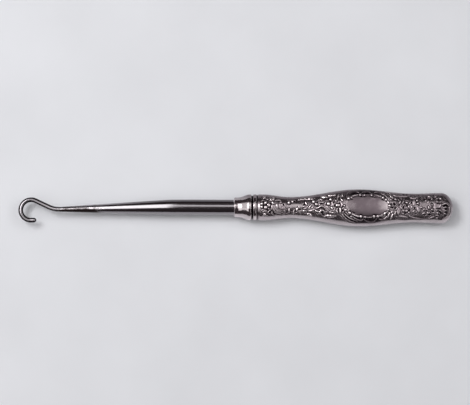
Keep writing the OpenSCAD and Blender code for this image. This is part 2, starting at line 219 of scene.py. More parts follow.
RIBS = (
    (0.39, 0.38, 12.52, -3.97, 13.05, -3.53, 13.66, -3.44, 14.36, -3.87),
    (0.22, 0.08, 11.82, -1.75, 13.05, -3.27), (0.22, 0.08, 12.61, -1.34, 13.92, -2.82),
    (0.22, 0.08, 13.4, -1.6, 12.35, -3.1), (0.22, 0.08, 12.26, 2.42, 13.05, 2.6),
    (0.22, 0.08, 14.36, 2.26, 14.97, 1.65), (0.46, 0.1, 18.78, 1.6, 18.69, 0.46, 19.0, -1.02),
    (0.35, 0.0, 16.68, 0.71, 16.72, -0.61, 17.51, -1.91, 18.83, -2.86, 20.31, -3.2),
    (0.31, 0.0, 17.6, 1.33, 17.51, -0.25, 18.21, -1.55, 19.44, -2.51),
    (0.35, 0.0, 19.88, 1.7, 19.96, 0.13, 20.49, -1.01, 21.63, -1.78),
    (0.31, 0.0, 20.84, 1.89, 20.93, 0.57, 21.45, -0.39),
    (0.22, 0.08, 16.29, -2.89, 17.69, -3.79, 19.88, -4.03, 22.07, -3.53),
    (0.22, 0.08, 17.69, 2.56, 18.91, 2.92, 20.23, 2.84),
    (0.44, 0.4, 28.11, 2.92, 29.46, 3.24, 31.22, 3.34, 32.75, 3.36, 34.5, 3.15),
    (0.26, 0.2, 31.43, -1.17, 32.05, 0.15, 32.84, 1.47), (0.33, 0.22, 32.31, -1.16, 33.1, 0.08, 33.97, 1.22),
    (0.26, 0.2, 33.36, -1.24, 34.15, -0.18, 34.85, 0.62), (0.26, 0.2, 34.24, -1.14, 35.11, -0.26),
    (0.39, 0.13, 35.9, -0.95, 36.95, -0.33, 38.0, 0.21, 38.96, -0.04, 39.84, -0.91),
    (0.31, 0.2, 37.21, 1.6, 38.18, 1.88, 39.05, 1.53), (0.31, 0.2, 36.6, 2.82, 37.48, 3.18, 38.26, 2.93),
    (0.5, 0.38, 35.46, -1.78, 36.42, -2.17, 37.21, -2.38, 37.96, -1.54),
    (0.31, 0.22, 38.26, -1.45, 38.88, -1.8, 39.49, -2.67), (0.26, 0.2, 36.95, -2.56, 36.42, -3.31),
    (0.22, 0.02, 32.57, -2.03, 34.06, -1.67, 35.37, -1.3), (0.53, 0.5, 38.0, 4.15, 39.14, 4.12, 40.45, 4.04),
    (0.5, 0.48, 41.15, 4.79, 42.47, 4.94, 44.04, 5.08),
    (0.44, 0.42, 39.14, -4.24, 40.19, -3.93, 41.15, -3.88, 42.64, -3.95, 44.31, -3.93),
    (0.22, 0.08, 40.37, 0.14, 41.33, -1.07, 42.38, -2.2), (0.22, 0.08, 39.93, -1.0, 40.8, -2.04),
    (0.44, 0.42, 46.28, 4.75, 46.49, 3.53, 47.28, 2.22),
    (0.22, 0.08, 47.9, 2.58, 47.98, 4.24, 48.86, 5.74, 50.26, 6.72),
    (0.26, 0.2, 47.63, -2.76, 49.3, -4.32, 51.4, -5.44, 53.76, -6.29),
    (0.26, 0.2, 47.11, -3.56, 48.6, -5.12, 50.61, -6.32, 52.71, -6.92),
    (0.22, 0.08, 46.58, -4.26, 47.9, -5.52, 49.56, -6.42),
    (0.22, 0.2, 48.42, -2.32, 49.82, -3.75, 51.31, -4.65),
    (0.31, 0.2, 49.38, 3.65, 49.08, 4.69, 49.65, 5.84, 50.96, 6.55, 52.54, 6.92, 53.85, 6.58, 54.9, 5.54),
    (0.28, 0.2, 55.34, 5.63, 56.13, 6.38, 57.53, 6.79, 58.84, 6.62, 59.89, 5.5),
    (0.28, 0.2, 60.5, 5.76, 61.82, 6.43, 63.57, 6.32, 65.23, 5.55, 66.63, 4.25, 67.51, 2.85),
    (0.28, 0.2, 52.01, -4.74, 53.59, -5.6, 55.34, -5.93, 56.21, -5.4),
    (0.28, 0.2, 56.65, -5.57, 57.88, -6.26, 59.45, -6.59, 61.03, -6.23, 62.08, -5.25),
    (0.28, 0.2, 63.22, -5.42, 64.62, -5.58, 66.02, -4.87, 66.72, -3.9),
    (0.53, 0.5, 66.37, 6.26, 67.6, 5.48, 68.47, 4.26), (0.26, 0.2, 65.49, 5.9, 66.72, 4.86, 67.68, 3.56),
    (0.24, 0.2, 68.73, 0.33, 69.96, 0.29, 70.82, 1.13, 70.99, 2.54, 70.74, 3.85),
    (0.24, 0.2, 68.73, -1.16, 70.14, -1.37, 71.08, -0.44, 71.67, 0.62),
    (0.31, 0.2, 68.82, 5.84, 70.14, 5.16, 71.84, 4.82, 73.61, 4.8, 75.48, 4.81),
    (0.31, 0.15, 70.65, -4.3, 72.51, -4.06, 74.21, -4.26, 75.65, -4.6),
    (0.26, 0.15, 76.15, -3.8, 77.8, -4.49, 79.55, -4.91, 81.39, -5.07),
    (0.26, 0.15, 81.39, -5.07, 83.14, -5.09, 85.33, -4.85, 87.17, -4.05),
    (0.39, 0.15, 76.75, 4.26, 78.23, 3.97, 79.81, 4.37),
    (0.39, 0.42, 84.45, 4.68, 85.41, 4.47, 86.03, 3.91, 86.25, 3.3),
    (0.35, -0.03, 87.43, 1.82, 87.52, 0.07, 87.43, -1.68, 87.43, -3.43, 86.99, -4.49),
    (0.26, 0.15, 87.95, 3.58, 88.65, 3.89, 89.62, 3.94, 90.32, 3.34, 90.14, 2.55, 89.35, 2.19, 88.22, 2.27),
    (0.26, 0.2, 87.95, -1.46, 89.0, -1.32, 90.14, -1.83, 90.84, -2.96),
    (0.22, 0.2, 88.39, -2.55, 89.27, -2.63, 89.88, -3.41),
    (0.22, 0.15, 87.95, -3.69, 88.83, -3.77, 89.27, -4.38), (0.22, 0.15, 87.87, -4.83, 88.74, -4.69),
    (0.55, 0.5, 90.58, 0.89, 91.46, 1.46, 92.51, 1.47, 93.38, 0.65, 93.82, -0.57, 93.86, -1.88, 93.47, -3.38,
        92.51, -4.61, 91.02, -5.41), (0.37, 0.4, 91.02, -0.51, 92.07, -0.02, 93.03, -0.49),
    (0.31, 0.34, 91.46, -1.6, 92.51, -1.46, 93.12, -1.8),
    (0.26, 0.3, 91.37, -2.87, 92.33, -2.91, 93.03, -3.29), (0.22, 0.0, 90.76, 4.39, 91.37, 3.78, 92.16, 3.27),
)
FRAME_RIBS = (
    (0.31, 0.16, 49.03, 2.68, 49.82, 3.56, 50.87, 4.27, 52.01, 4.9, 53.5, 5.22, 54.99, 5.32),
    (0.26, 0.14, 54.99, 5.32, 56.83, 5.2, 58.4, 5.22, 59.89, 5.32),
    (0.31, 0.16, 59.89, 5.32, 61.64, 5.29, 63.39, 4.74, 64.84, 4.05),
    (0.24, 0.08, 64.84, 4.05, 66.11, 3.19, 67.16, 1.98, 67.68, 0.58),
    (0.31, 0.16, 48.51, -0.48, 49.21, -1.79, 50.3, -2.83, 51.75, -3.56, 53.5, -4.2, 55.16, -4.44),
    (0.26, 0.14, 55.16, -4.44, 57.18, -4.69, 59.02, -4.71, 60.85, -4.34),
    (0.31, 0.1, 60.85, -4.34, 62.69, -4.28, 64.27, -3.83, 65.67, -2.77, 66.98, -1.88, 67.77, -0.38),
)
HOLLOWS = (
    (12.7, 1.98, 0.47), (13.97, 0.55, 0.47, 0.37), (15.94, 1.27, 0.82, 0.3, -54), (15.72, -0.61, 0.47, 0.58),
    (14.53, -1.76, 0.53, 0.47), (15.59, -2.63, 0.63, 0.68), (12.87, 0.37, 0.53, 0.32),
    (14.14, 2.7, 0.63, 0.42), (13.31, 3.08, 0.42), (16.24, 3.81, 0.37, 0.47), (16.33, -2.1, 0.47, 0.37),
    (21.58, 0.84, 0.37, 0.47), (14.36, -1.15, 0.32), (24.95, -1.75, 0.68, 0.37), (26.79, -2.17, 0.47),
    (28.63, -1.37, 0.79, 0.42), (24.56, 2.58, 0.42, 0.47), (26.36, 2.38, 0.47, 0.42),
    (30.47, 1.01, 0.47, 0.37), (29.86, -0.74, 0.74, 0.26), (22.94, -2.56, 0.47, 0.42),
    (30.82, -2.62, 0.53, 0.32), (31.22, 2.47, 2.21, 0.3, 2), (38.31, -2.68, 0.58, 0.63),
    (38.7, -3.55, 0.53, 0.47), (36.16, -2.7, 0.63, 0.37), (32.22, -2.34, 0.63, 0.26),
    (34.94, 3.25, 0.47, 0.42), (41.15, 3.48, 0.47, 0.58), (41.85, 2.26, 0.47, 0.37),
    (39.84, 3.38, 0.63, 0.32), (44.7, -0.43, 0.47, 0.37), (43.69, 0.53, 0.37, 0.47),
    (44.22, 3.64, 0.32, 0.47), (45.66, 3.61, 0.37, 0.68), (47.02, 3.67, 0.32, 0.63),
    (47.04, -0.23, 0.87, 0.35, 58), (45.4, -1.47, 0.26, 0.95), (47.19, -1.89, 0.37, 0.53),
    (47.81, -2.72, 0.32, 0.42), (43.34, 1.92, 0.32, 0.63), (43.04, -3.24, 0.68, 0.26),
    (45.97, 1.51, 0.37, 0.47), (55.51, 4.54, 1.0, 0.32), (56.78, 4.5, 0.63, 0.26), (60.15, 4.49, 0.79, 0.32),
    (61.47, 4.29, 0.84, 0.24), (64.84, 3.18, 0.63, 0.37, -20), (66.24, 2.45, 0.42, 0.26, -30),
    (51.22, 3.31, 0.63, 0.26, 20), (50.35, -1.95, 0.42, 0.32), (52.01, -2.72, 0.95, 0.26, -24),
    (55.12, -3.57, 0.68, 0.24), (61.42, -3.55, 1.26, 0.18), (52.27, 5.73, 1.89, 0.53, 8),
    (54.02, 5.88, 0.47, 0.42), (57.61, 6.0, 1.79, 0.45), (62.26, 5.83, 1.68, 0.42, -8),
    (65.32, 4.76, 1.47, 0.32, -38), (52.36, -4.43, 1.4, 0.3, -26), (54.68, -5.3, 1.22, 0.25, -12),
    (57.96, -5.29, 0.84, 0.32), (60.72, -5.27, 0.74, 0.32), (63.83, -4.8, 0.89, 0.32), (66.37, -3.64, 0.47),
    (50.39, -3.92, 0.42, 0.37), (68.3, 1.11, 0.53, 0.47), (69.65, 1.3, 0.68, 0.58),
    (68.78, -0.37, 0.74, 0.32), (70.05, -0.54, 0.47, 0.42), (67.51, -2.22, 0.26, 0.42), (69.52, 3.14, 0.42),
    (71.92, 0.84, 0.47, 0.32), (72.51, 3.25, 0.37, 0.42), (73.61, 4.23, 0.63, 0.26),
    (71.92, 4.12, 0.53, 0.26), (74.42, 1.61, 0.32, 0.53), (75.27, 0.65, 0.29, 0.68),
    (73.83, -0.15, 0.42, 0.68, -20), (77.4, 1.9, 0.26, 0.63), (79.94, 3.81, 0.42, 0.37), (79.55, 2.1, 0.32),
    (80.42, 0.7, 0.42, 0.26), (76.41, -1.48, 0.63, 0.42), (74.63, -2.86, 0.63, 0.37),
    (77.71, -3.26, 0.63, 0.26), (79.02, -2.99, 0.53, 0.26), (78.59, -0.45, 0.47, 0.37),
    (71.2, 2.8, 0.26, 0.53), (82.88, 3.7, 0.74, 0.47), (84.89, 3.59, 0.74, 0.37), (86.2, -0.07, 0.63, 0.32),
    (86.38, -2.04, 0.84, 0.32), (86.03, 1.68, 0.74, 0.26), (82.96, -3.48, 0.68, 0.37),
    (85.02, -3.5, 0.79, 0.47), (81.56, -0.99, 0.37, 0.26), (83.66, -1.81, 0.74, 0.21),
    (89.14, 3.19, 0.89, 0.47), (88.92, 1.53, 1.0, 0.26), (88.22, -4.21, 0.58, 0.32),
    (73.95, 5.67, 0.63, 0.26), (75.31, 5.6, 0.47, 0.26), (77.45, 5.14, 0.63, 0.26), (78.94, 5.11, 0.68, 0.26),
    (80.51, 5.17, 0.53, 0.26), (71.08, -5.17, 0.63, 0.26), (72.6, -5.28, 0.63, 0.24),
    (74.21, -5.31, 0.47, 0.24), (75.39, -5.3, 0.37, 0.24), (92.29, -0.94, 0.47, 0.42),
    (92.42, -2.29, 0.42, 0.37), (92.03, -3.65, 0.32, 0.53), (91.46, 4.75, 0.42, 0.32), (87.08, 4.01, 0.42),
)
GROOVES = (
    (0.26, 16.72, -2.27, 17.77, -3.18, 19.18, -3.52, 20.4, -3.46),
    (0.2, 20.49, -2.32, 21.63, -2.62, 22.77, -2.47),
    (0.22, 36.86, -1.29, 37.83, -0.71, 38.88, -1.01, 39.84, -1.96),
    (0.2, 37.3, 1.08, 38.09, 1.22, 38.96, 1.01), (0.22, 35.64, 0.19, 36.42, 0.19, 37.13, 0.46),
    (0.24, 35.9, 2.12, 36.86, 2.21), (0.22, 39.66, -4.77, 41.07, -4.75, 43.08, -4.65),
    (0.18, 47.37, -3.2, 48.95, -4.81, 51.05, -5.93, 53.24, -6.65),
    (0.18, 48.07, -2.58, 49.56, -4.06, 51.4, -5.05), (0.24, 87.87, -0.67, 90.14, -0.65),
    (0.22, 87.87, -2.03, 88.74, -1.85, 89.62, -2.19, 90.23, -3.06),
    (0.18, 88.13, -3.16, 89.0, -3.24, 89.53, -3.85), (0.33, 91.11, 0.37, 92.16, 0.68, 93.12, 0.17),
    (0.22, 90.93, -4.19, 90.06, -4.98),
)
# Outline of the plain oval, and the plain place on the neck: x, y, half length and half width
OVAL = (
    (48.51, 0.75), (49.12, 2.15), (50.43, 2.95), (52.01, 4.02), (54.2, 4.57), (57.7, 4.69), (61.2, 4.63),
    (63.83, 3.87), (65.85, 2.58), (67.42, 0.49), (66.46, -1.53), (64.71, -3.04), (62.08, -3.76),
    (58.14, -4.06), (54.2, -3.75), (51.57, -2.9), (49.47, -1.26),
)
PLAIN_PLACE = (26.53, 0.23, 4.29, 1.71)
# Places on the ornament and in the oval with painted light, brighter, or painted shade, darker where the
# amount is
# below 0: x, y, half length, half width and amount. Painted light lies on the neck, painted shade along the
# oval's frame above and below; in the oval, painted highlights at its two ends and painted shade along its
# bottom
ORNAMENT_PAINTED_LIGHT_AND_SHADE = (
    (18.96, 0.12, 3.5, 2.63, 0.02), (27.06, -0.94, 5.25, 2.63, 0.08), (57.7, 6.26, 10.07, 1.93, -0.36),
    (57.7, -5.73, 10.07, 2.01, -0.36),
)
OVAL_PAINTED_LIGHT_AND_SHADE = (
    (68.21, 0.67, 7.88, 3.94, 0.11), (68.21, 0.67, 4.38, 3.06, 0.1), (47.63, 0.13, 6.57, 3.94, 0.1),
    (57.7, -4.77, 10.51, 2.85, -0.1),
)
# Edges between the ornament and the plain sides of the handle
UPPER_EDGE = (
    (10.86, 4.42), (13.92, 4.45), (17.42, 4.04), (20.93, 3.46), (23.99, 2.79), (26.18, 2.99), (27.93, 3.53),
    (30.56, 3.99), (34.06, 4.03), (36.69, 4.23), (39.31, 4.78), (41.94, 5.5), (44.57, 5.96), (47.19, 6.34),
    (49.38, 6.97), (52.01, 7.35), (55.08, 7.29), (58.58, 7.32), (62.08, 7.09), (65.58, 6.69), (68.21, 6.28),
    (70.82, 5.78), (74.21, 6.07), (77.62, 5.58), (81.12, 5.53), (84.63, 5.47), (88.13, 5.5), (90.76, 5.0),
    (92.94, 3.45), (94.26, 1.45),
)
LOWER_EDGE = (
    (10.86, -4.34), (13.92, -4.31), (17.42, -4.28), (20.93, -3.98), (24.43, -3.33), (27.93, -3.13),
    (30.56, -3.28), (33.19, -4.04), (36.69, -3.83), (38.88, -4.6), (41.07, -4.93), (43.69, -4.73),
    (45.88, -4.97), (48.07, -6.17), (50.7, -7.11), (53.32, -7.35), (56.83, -7.05), (60.33, -7.02),
    (63.83, -6.2), (66.46, -5.74), (69.08, -5.62), (71.24, -5.52), (74.21, -5.66), (77.62, -5.45),
    (81.12, -5.51), (84.63, -5.47), (87.25, -5.1), (89.88, -5.6), (92.51, -4.96), (94.26, -2.76),
)


def linear(hex_colour):
    """Linear RGBA of an sRGB hex colour."""
    channels = [int(hex_colour[i:i + 2], 16) / 255 for i in (1, 3, 5)]
    return tuple(c / 12.92 if c <= 0.04045 else ((c + 0.055) / 1.055) ** 2.4 for c in channels) + (1.0,)


def length(name, description, default_mm):
    """A length that a user can change."""
    return FloatProperty(
        name=name, description=description, default=default_mm * MM, min=0.0, unit="LENGTH", precision=5
    )


def angle(name, description, default_degrees):
    """An angle that a user can change."""
    return FloatProperty(
        name=name, description=description, default=math.radians(default_degrees), subtype="ANGLE"
    )


def colour(name, description, default_hex):
    """A colour that a user can change."""
    return FloatVectorProperty(
        name=name, description=description, default=linear(default_hex), size=4, min=0.0, max=1.0,
        subtype="COLOR",
    )


class ButtonHookSizes(bpy.types.PropertyGroup):
    """Sizes of the hook, the turned pieces and the relief."""

    loop_radius: length("Loop radius", "Radius of the hook's loop, to the middle of the wire", 4.5)
    wire_diameter: length("Wire", "Diameter of the wire that the hook is bent from", 2.1)
    leg_angle: angle("Leg angle", "Angle between the leg of the hook and the shank", 26.5)
    bend_radius: length("Neck bend", "Radius of the bend where the leg leaves the shank", 12.0)
    point_length: length("Point", "Straight length at the point of the hook", 1.2)
    shank_diameter: length("Shank", "Diameter of the straight shank", 6.6)
    shank_length: length("Shank length", "Length of the straight shank", 28.0)
    taper_length: length("Taper length", "Length of the taper down to the wire", 48.0)
    taper_blend: length("Taper blend", "How far along the taper eases into the shank", 3.5)
    lean: angle("Lean", "Angle that the taper and the hook lean out of line with the shank", 1.5)
    spigot_diameter: length("Spigot", "Diameter of the spigot inside the ferrule", 4.4)
    spigot_length: length("Spigot length", "Length of the spigot behind the shoulder", 4.0)
    tang_root: length("Tang root", "Width of the square tang at its root", 3.0)
    tang_tip: length("Tang tip", "Width of the square tang at its tip", 1.6)
    tang_length: length("Tang length", "Length of the square tang", 44.0)
    collar_diameter: length("Collar", "Diameter of the ferrule's band and the ring", 11.3)
    relief: FloatProperty(
        name="Relief", description="Height of the struck ornament, as a share of the die's own", default=1.0
    )
    sides: IntProperty(name="Sides", description="Sides of the swept and turned pieces", default=96, min=12)


class ButtonHookColours(bpy.types.PropertyGroup):
    """Colours of the metals, the filling and the stage."""

    silver: colour("Silver", "Sterling silver where it is rubbed bright", "#E3D9DB")
    tarnish: colour("Tarnish", "Silver under a thin grey-brown tarnish", "#74696E")
    oxide: colour("Oxide", "Black sulphide left in the hollows", "#191217")
    steel: colour("Steel", "Polished steel of the shank", "#C6C1C5")
    # The dark steel of the hook; it also gives the painted shade at the wire's edges and along the shank's
    # sides
    dark_steel_and_painted_shade: colour("Temper", "Steel darkened by the fire, at the hook", "#2F2A30")
    rust: colour("Rust", "Dark worn and pitted steel near the hook", "#352D2C")
    pitch: colour("Pitch", "Hard pitch inside the handle", "#241A14")
    floor: colour("Floor", "Plain pale floor", "#EDEEF1")


class ButtonHookSettings(bpy.types.PropertyGroup):
    """All that a user of the button hook would change."""

    sizes: PointerProperty(type=ButtonHookSizes)
    colours: PointerProperty(type=ButtonHookColours)


def add(tree, kind, inputs=None, stops=(), **settings):
    """Add one node with its settings, set or link its inputs, and set the stops of its colour ramp.

    An input that is a node is linked to that node's first output.
    """
    node = tree.nodes.new(kind)
    for name, value in settings.items():
        setattr(node, name, value)
    for key, value in (inputs or {}).items():
        if isinstance(value, bpy.types.Node):
            value = value.outputs[0]
        if isinstance(value, bpy.types.NodeSocket):
            tree.links.new(value, node.inputs[key])
        else:
            node.inputs[key].default_value = value
    for i, (place, rgba) in enumerate(stops):
        elements = node.color_ramp.elements
        element = elements[i] if i < len(elements) else elements.new(place)
        element.position, element.color = place, rgba
    return node


def new_material(name):
    """The material of that name with an empty tree, its tree, and the place on the piece."""
    material = bpy.data.materials.get(name) or bpy.data.materials.new(name)
    material.use_nodes = True
    tree = material.node_tree
    tree.nodes.clear()
    return material, tree, add(tree, "ShaderNodeTexCoord").outputs["Object"]


def end_material(tree, surface):
    """Close a material's tree with its shader, whose sockets take what varies and what does not."""
    shader = add(tree, "ShaderNodeBsdfPrincipled", surface)
    add(tree, "ShaderNodeOutputMaterial", {"Surface": shader})


def uneven(tree, attribute, clouds, gain, offset):
    """An attribute of the piece, made uneven by clouds and kept between 0 and 1."""
    value = add(tree, "ShaderNodeAttribute", attribute_name=attribute).outputs["Fac"]
    noise = add(tree, "ShaderNodeTexNoise", clouds)
    change = add(tree, "ShaderNodeMath", {0: noise, 1: gain, 2: offset}, operation="MULTIPLY_ADD")
    return add(tree, "ShaderNodeMath", {0: value, 1: change}, operation="ADD", use_clamp=True)


def grey(value):
    """A grey for the stop of a ramp that gives a number."""
    return (value, value, value, 1.0)


def darker(rgba, share):
    """A colour darkened to a share of itself."""
    return tuple(share * c for c in rgba[:3]) + (1.0,)


def struck_silver(colours):
    """Die-struck sterling silver, oxidised and rubbed back.

    The high places are bright and lightly scratched, the hollows hold black sulphide,
    and a brown-grey tarnish lies between them.
    """
    material, tree, place = new_material("struck_sterling_silver")
    clouds = {"Vector": place, "Scale": 1 / TARNISH_CLOUD, "Detail": 5.0, "Roughness": 0.6}
    # The tarnish also holds painted light and shade laid on the handle's halves
    level = uneven(tree, "tarnish", clouds, gain=0.24, offset=-0.12)
    tint = add(tree, "ShaderNodeValToRGB", {"Fac": level}, (
        (0.05, colours.silver), (0.55, colours.tarnish), (0.95, colours.oxide),
    ))
    gloss = add(tree, "ShaderNodeValToRGB", {"Fac": level}, (
        (0.0, grey(0.17)), (0.5, grey(0.27)), (1.0, grey(0.55)),
    ))
    drawn_out = add(tree, "ShaderNodeMapping", {
        "Vector": place, "Rotation": (0.0, 0.0, SCRATCH_TURN), "Scale": SCRATCH_STRETCH,
    })
    scratches = add(tree, "ShaderNodeTexNoise", {"Vector": drawn_out, "Scale": 1 / SCRATCH, "Detail": 4.0})
    worn = add(tree, "ShaderNodeBump", {"Height": scratches, "Strength": 0.1, "Distance": 0.01 * MM})
    matted = add(tree, "ShaderNodeAttribute", attribute_name="matted").outputs["Fac"]
    marks = add(tree, "ShaderNodeTexVoronoi", {"Vector": place, "Scale": 1 / PUNCH_MARK})
    depth = add(tree, "ShaderNodeMath", {0: marks, 1: matted}, operation="MULTIPLY")
    punched = add(tree, "ShaderNodeBump", {
        "Height": depth, "Strength": 0.3, "Distance": 0.1 * MM, "Normal": worn,
    })
    end_material(tree, {"Base Color": tint, "Roughness": gloss, "Normal": punched, "Metallic": 1.0})
    return material


def polished_silver(colours):
    """Turned and polished sterling silver, bright on the round and black in the grooves.

    Fine turning lines run round it, and handling has left it slightly cloudy.
    """
    material, tree, place = new_material("polished_sterling_silver")
    haze = {"Vector": place, "Scale": 1 / HAND_HAZE, "Detail": 4.0}
    # The tarnish includes painted shade on the side towards +Y
    level = uneven(tree, "tarnish", haze, gain=0.3, offset=-0.1)
    tint = add(tree, "ShaderNodeValToRGB", {"Fac": level}, (
        (0.0, colours.silver), (0.5, colours.tarnish), (1.0, colours.oxide),
    ))
    gloss = add(tree, "ShaderNodeValToRGB", {"Fac": level}, ((0.0, grey(0.08)), (1.0, grey(0.5))))
    drawn_out = add(tree, "ShaderNodeMapping", {"Vector": place, "Scale": TURNING_STRETCH})
    lines = add(tree, "ShaderNodeTexNoise", {"Vector": drawn_out, "Scale": 1 / TURNING, "Detail": 3.0})
    turning = add(tree, "ShaderNodeBump", {"Height": lines, "Strength": 0.2, "Distance": 0.01 * MM})
    end_material(tree, {"Base Color": tint, "Roughness": gloss, "Normal": turning, "Metallic": 1.0})
    return material


def polished_steel(colours):
    """Forged steel, ground and polished along its length.

    It is bright towards the handle; near the hook damp has pitted it and left it dark. The hook is dark
    steel, with painted shade at the wire's edges and a painted highlight along its crest, and painted shade
    darkens the shank's two sides.
    """
    material, tree, place = new_material("polished_forged_steel")
    blotches = {"Vector": place, "Scale": 1 / RUST_BLOTCH, "Detail": 6.0, "Roughness": 0.65}
    edge = uneven(tree, "wear", blotches, gain=0.8, offset=-0.4)
    rusted = add(tree, "ShaderNodeValToRGB", {"Fac": edge}, ((0.35, grey(0.0)), (0.75, grey(1.0))))
    dark_steel_and_painted_shade = add(tree, "ShaderNodeAttribute", attribute_name="dark_steel_and_painted_shade").outputs["Fac"]
    # Dark steel mixed in: painted shade at the hook's edges and along the shank's sides, leaving a painted
    # highlight on the hook's crest
    steel_with_painted_shade = add(tree, "ShaderNodeMix", {
        "Factor": dark_steel_and_painted_shade, MIX_FROM: colours.steel, MIX_TO: colours.dark_steel_and_painted_shade,
    }, data_type="RGBA").outputs[MIXED]
    tint = add(tree, "ShaderNodeMix", {
        "Factor": rusted, MIX_FROM: steel_with_painted_shade, MIX_TO: colours.rust,
    }, data_type="RGBA").outputs[MIXED]
    gloss = add(tree, "ShaderNodeValToRGB", {"Fac": rusted}, ((0.0, grey(0.12)), (1.0, grey(0.45))))
    pits = add(tree, "ShaderNodeTexVoronoi", {"Vector": place, "Scale": 1 / RUST_PIT})
    depth = add(tree, "ShaderNodeMath", {0: pits, 1: rusted}, operation="MULTIPLY")
    pitted = add(tree, "ShaderNodeBump", {"Height": depth, "Strength": 0.6, "Distance": 0.08 * MM})
    end_material(tree, {"Base Color": tint, "Roughness": gloss, "Normal": pitted, "Metallic": 1.0})
    return material


def hard_pitch(colours):
    """Cast pitch and brick dust: dark, dull and a little grainy."""
    material, tree, place = new_material("cast_hard_pitch")
    grain = add(tree, "ShaderNodeTexNoise", {"Vector": place, "Scale": 1 / PITCH_GRAIN, "Detail": 4.0})
    tint = add(tree, "ShaderNodeValToRGB", {"Fac": grain}, (
        (0.3, darker(colours.pitch, 0.5)), (0.7, colours.pitch),
    ))
    lumps = add(tree, "ShaderNodeBump", {"Height": grain, "Strength": 0.5, "Distance": 0.1 * MM})
    end_material(tree, {"Base Color": tint, "Normal": lumps, "Roughness": 0.7})
    return material


def pale_floor(colours):
    """Matt pale board, with the faintest mottling."""
    material, tree, place = new_material("matt_pale_board")
    mottle = add(tree, "ShaderNodeTexNoise", {"Vector": place, "Scale": 1 / BOARD_MOTTLE, "Detail": 3.0})
    tint = add(tree, "ShaderNodeValToRGB", {"Fac": mottle}, (
        (0.3, darker(colours.floor, 0.96)), (0.7, colours.floor),
    ))
    end_material(tree, {"Base Color": tint, "Roughness": 0.8, "Diffuse Roughness": 1.0})
    return material


def new_tree(name, inputs):
    """A Geometry Nodes tree with named inputs, its input node's outputs, and its inputs by name."""
    tree = bpy.data.node_groups.new(name, "GeometryNodeTree")
    tree.interface.new_socket("Geometry", in_out="OUTPUT", socket_type="NodeSocketGeometry")
    sockets = {
        label: tree.interface.new_socket(label, in_out="INPUT", socket_type="NodeSocket" + kind)
        for label, kind in inputs
    }
    return tree, add(tree, "NodeGroupInput").outputs, sockets


def end_tree(tree, geometry, material):
    """Close a tree: instances made real, and the material set."""
    real = add(tree, "GeometryNodeRealizeInstances", {"Geometry": geometry})
    dressed = add(tree, "GeometryNodeSetMaterial", {"Geometry": real, "Material": material})
    add(tree, "NodeGroupOutput", {"Geometry": dressed})


def grow(name, source, tree, sockets, values):
    """Run a tree on a source mesh and keep the result as an object with a plain mesh."""
    piece = bpy.data.objects.new(name, source)
    bpy.context.scene.collection.objects.link(piece)
    modifier = piece.modifiers.new(tree.name, "NODES")
    modifier.node_group = tree
    for label, value in values.items():
        modifier[sockets[label].identifier] = value
    evaluated = piece.evaluated_get(bpy.context.evaluated_depsgraph_get())
    mesh = bpy.data.meshes.new_from_object(evaluated)
    piece.modifiers.clear()
    piece.data = mesh
    bpy.data.meshes.remove(source)
    mesh.name = name
    return piece


def mark(mesh, label, values):
    """Give each point of a mesh its value of a float attribute."""
    mesh.attributes.new(label, "FLOAT", "POINT").data.foreach_set("value", values)


def outline_mesh(name, points, label, values):
    """A chain of points as a mesh of edges, with a float attribute."""
    mesh = bpy.data.meshes.new(name)
    mesh.from_pydata(points, [(i, i + 1) for i in range(len(points) - 1)], [])
    mark(mesh, label, values)
    return mesh


def sweep_tree(material):
    """Round bar along a path whose points carry its radius, with a square tang behind it."""
    tree, given, sockets = new_tree("swept_bar", (
        ("Path", "Geometry"), ("Sides", "Int"), ("Tang Start", "Vector"), ("Tang End", "Vector"),
        ("Tang Root", "Float"), ("Tang Tip", "Float"),
    ))
    radius = add(tree, "GeometryNodeInputNamedAttribute", {"Name": "bar_radius"}, data_type="FLOAT")
    path = add(tree, "GeometryNodeMeshToCurve", {"Mesh": given["Path"]})
    ring = add(tree, "GeometryNodeCurvePrimitiveCircle", {"Resolution": given["Sides"], "Radius": 1.0})
    bar = add(tree, "GeometryNodeCurveToMesh", {
        "Curve": path, "Profile Curve": ring, "Scale": radius, "Fill Caps": True,
    })
    line = add(tree, "GeometryNodeCurvePrimitiveLine", {
        "Start": given["Tang Start"], "End": given["Tang End"],
    })
    width = add(tree, "ShaderNodeMapRange", {
        "Value": add(tree, "GeometryNodeSplineParameter").outputs["Factor"],
        "To Min": given["Tang Root"], "To Max": given["Tang Tip"],
    })
    square = add(tree, "GeometryNodeCurvePrimitiveQuadrilateral", {"Width": 1.0, "Height": 1.0})
    tang = add(tree, "GeometryNodeCurveToMesh", {
        "Curve": line, "Profile Curve": square, "Scale": width, "Fill Caps": True,
    })
    both = add(tree, "GeometryNodeJoinGeometry", {"Geometry": bar})
    tree.links.new(tang.outputs[0], both.inputs[0])
    end_tree(tree, both, material)
    return tree, sockets


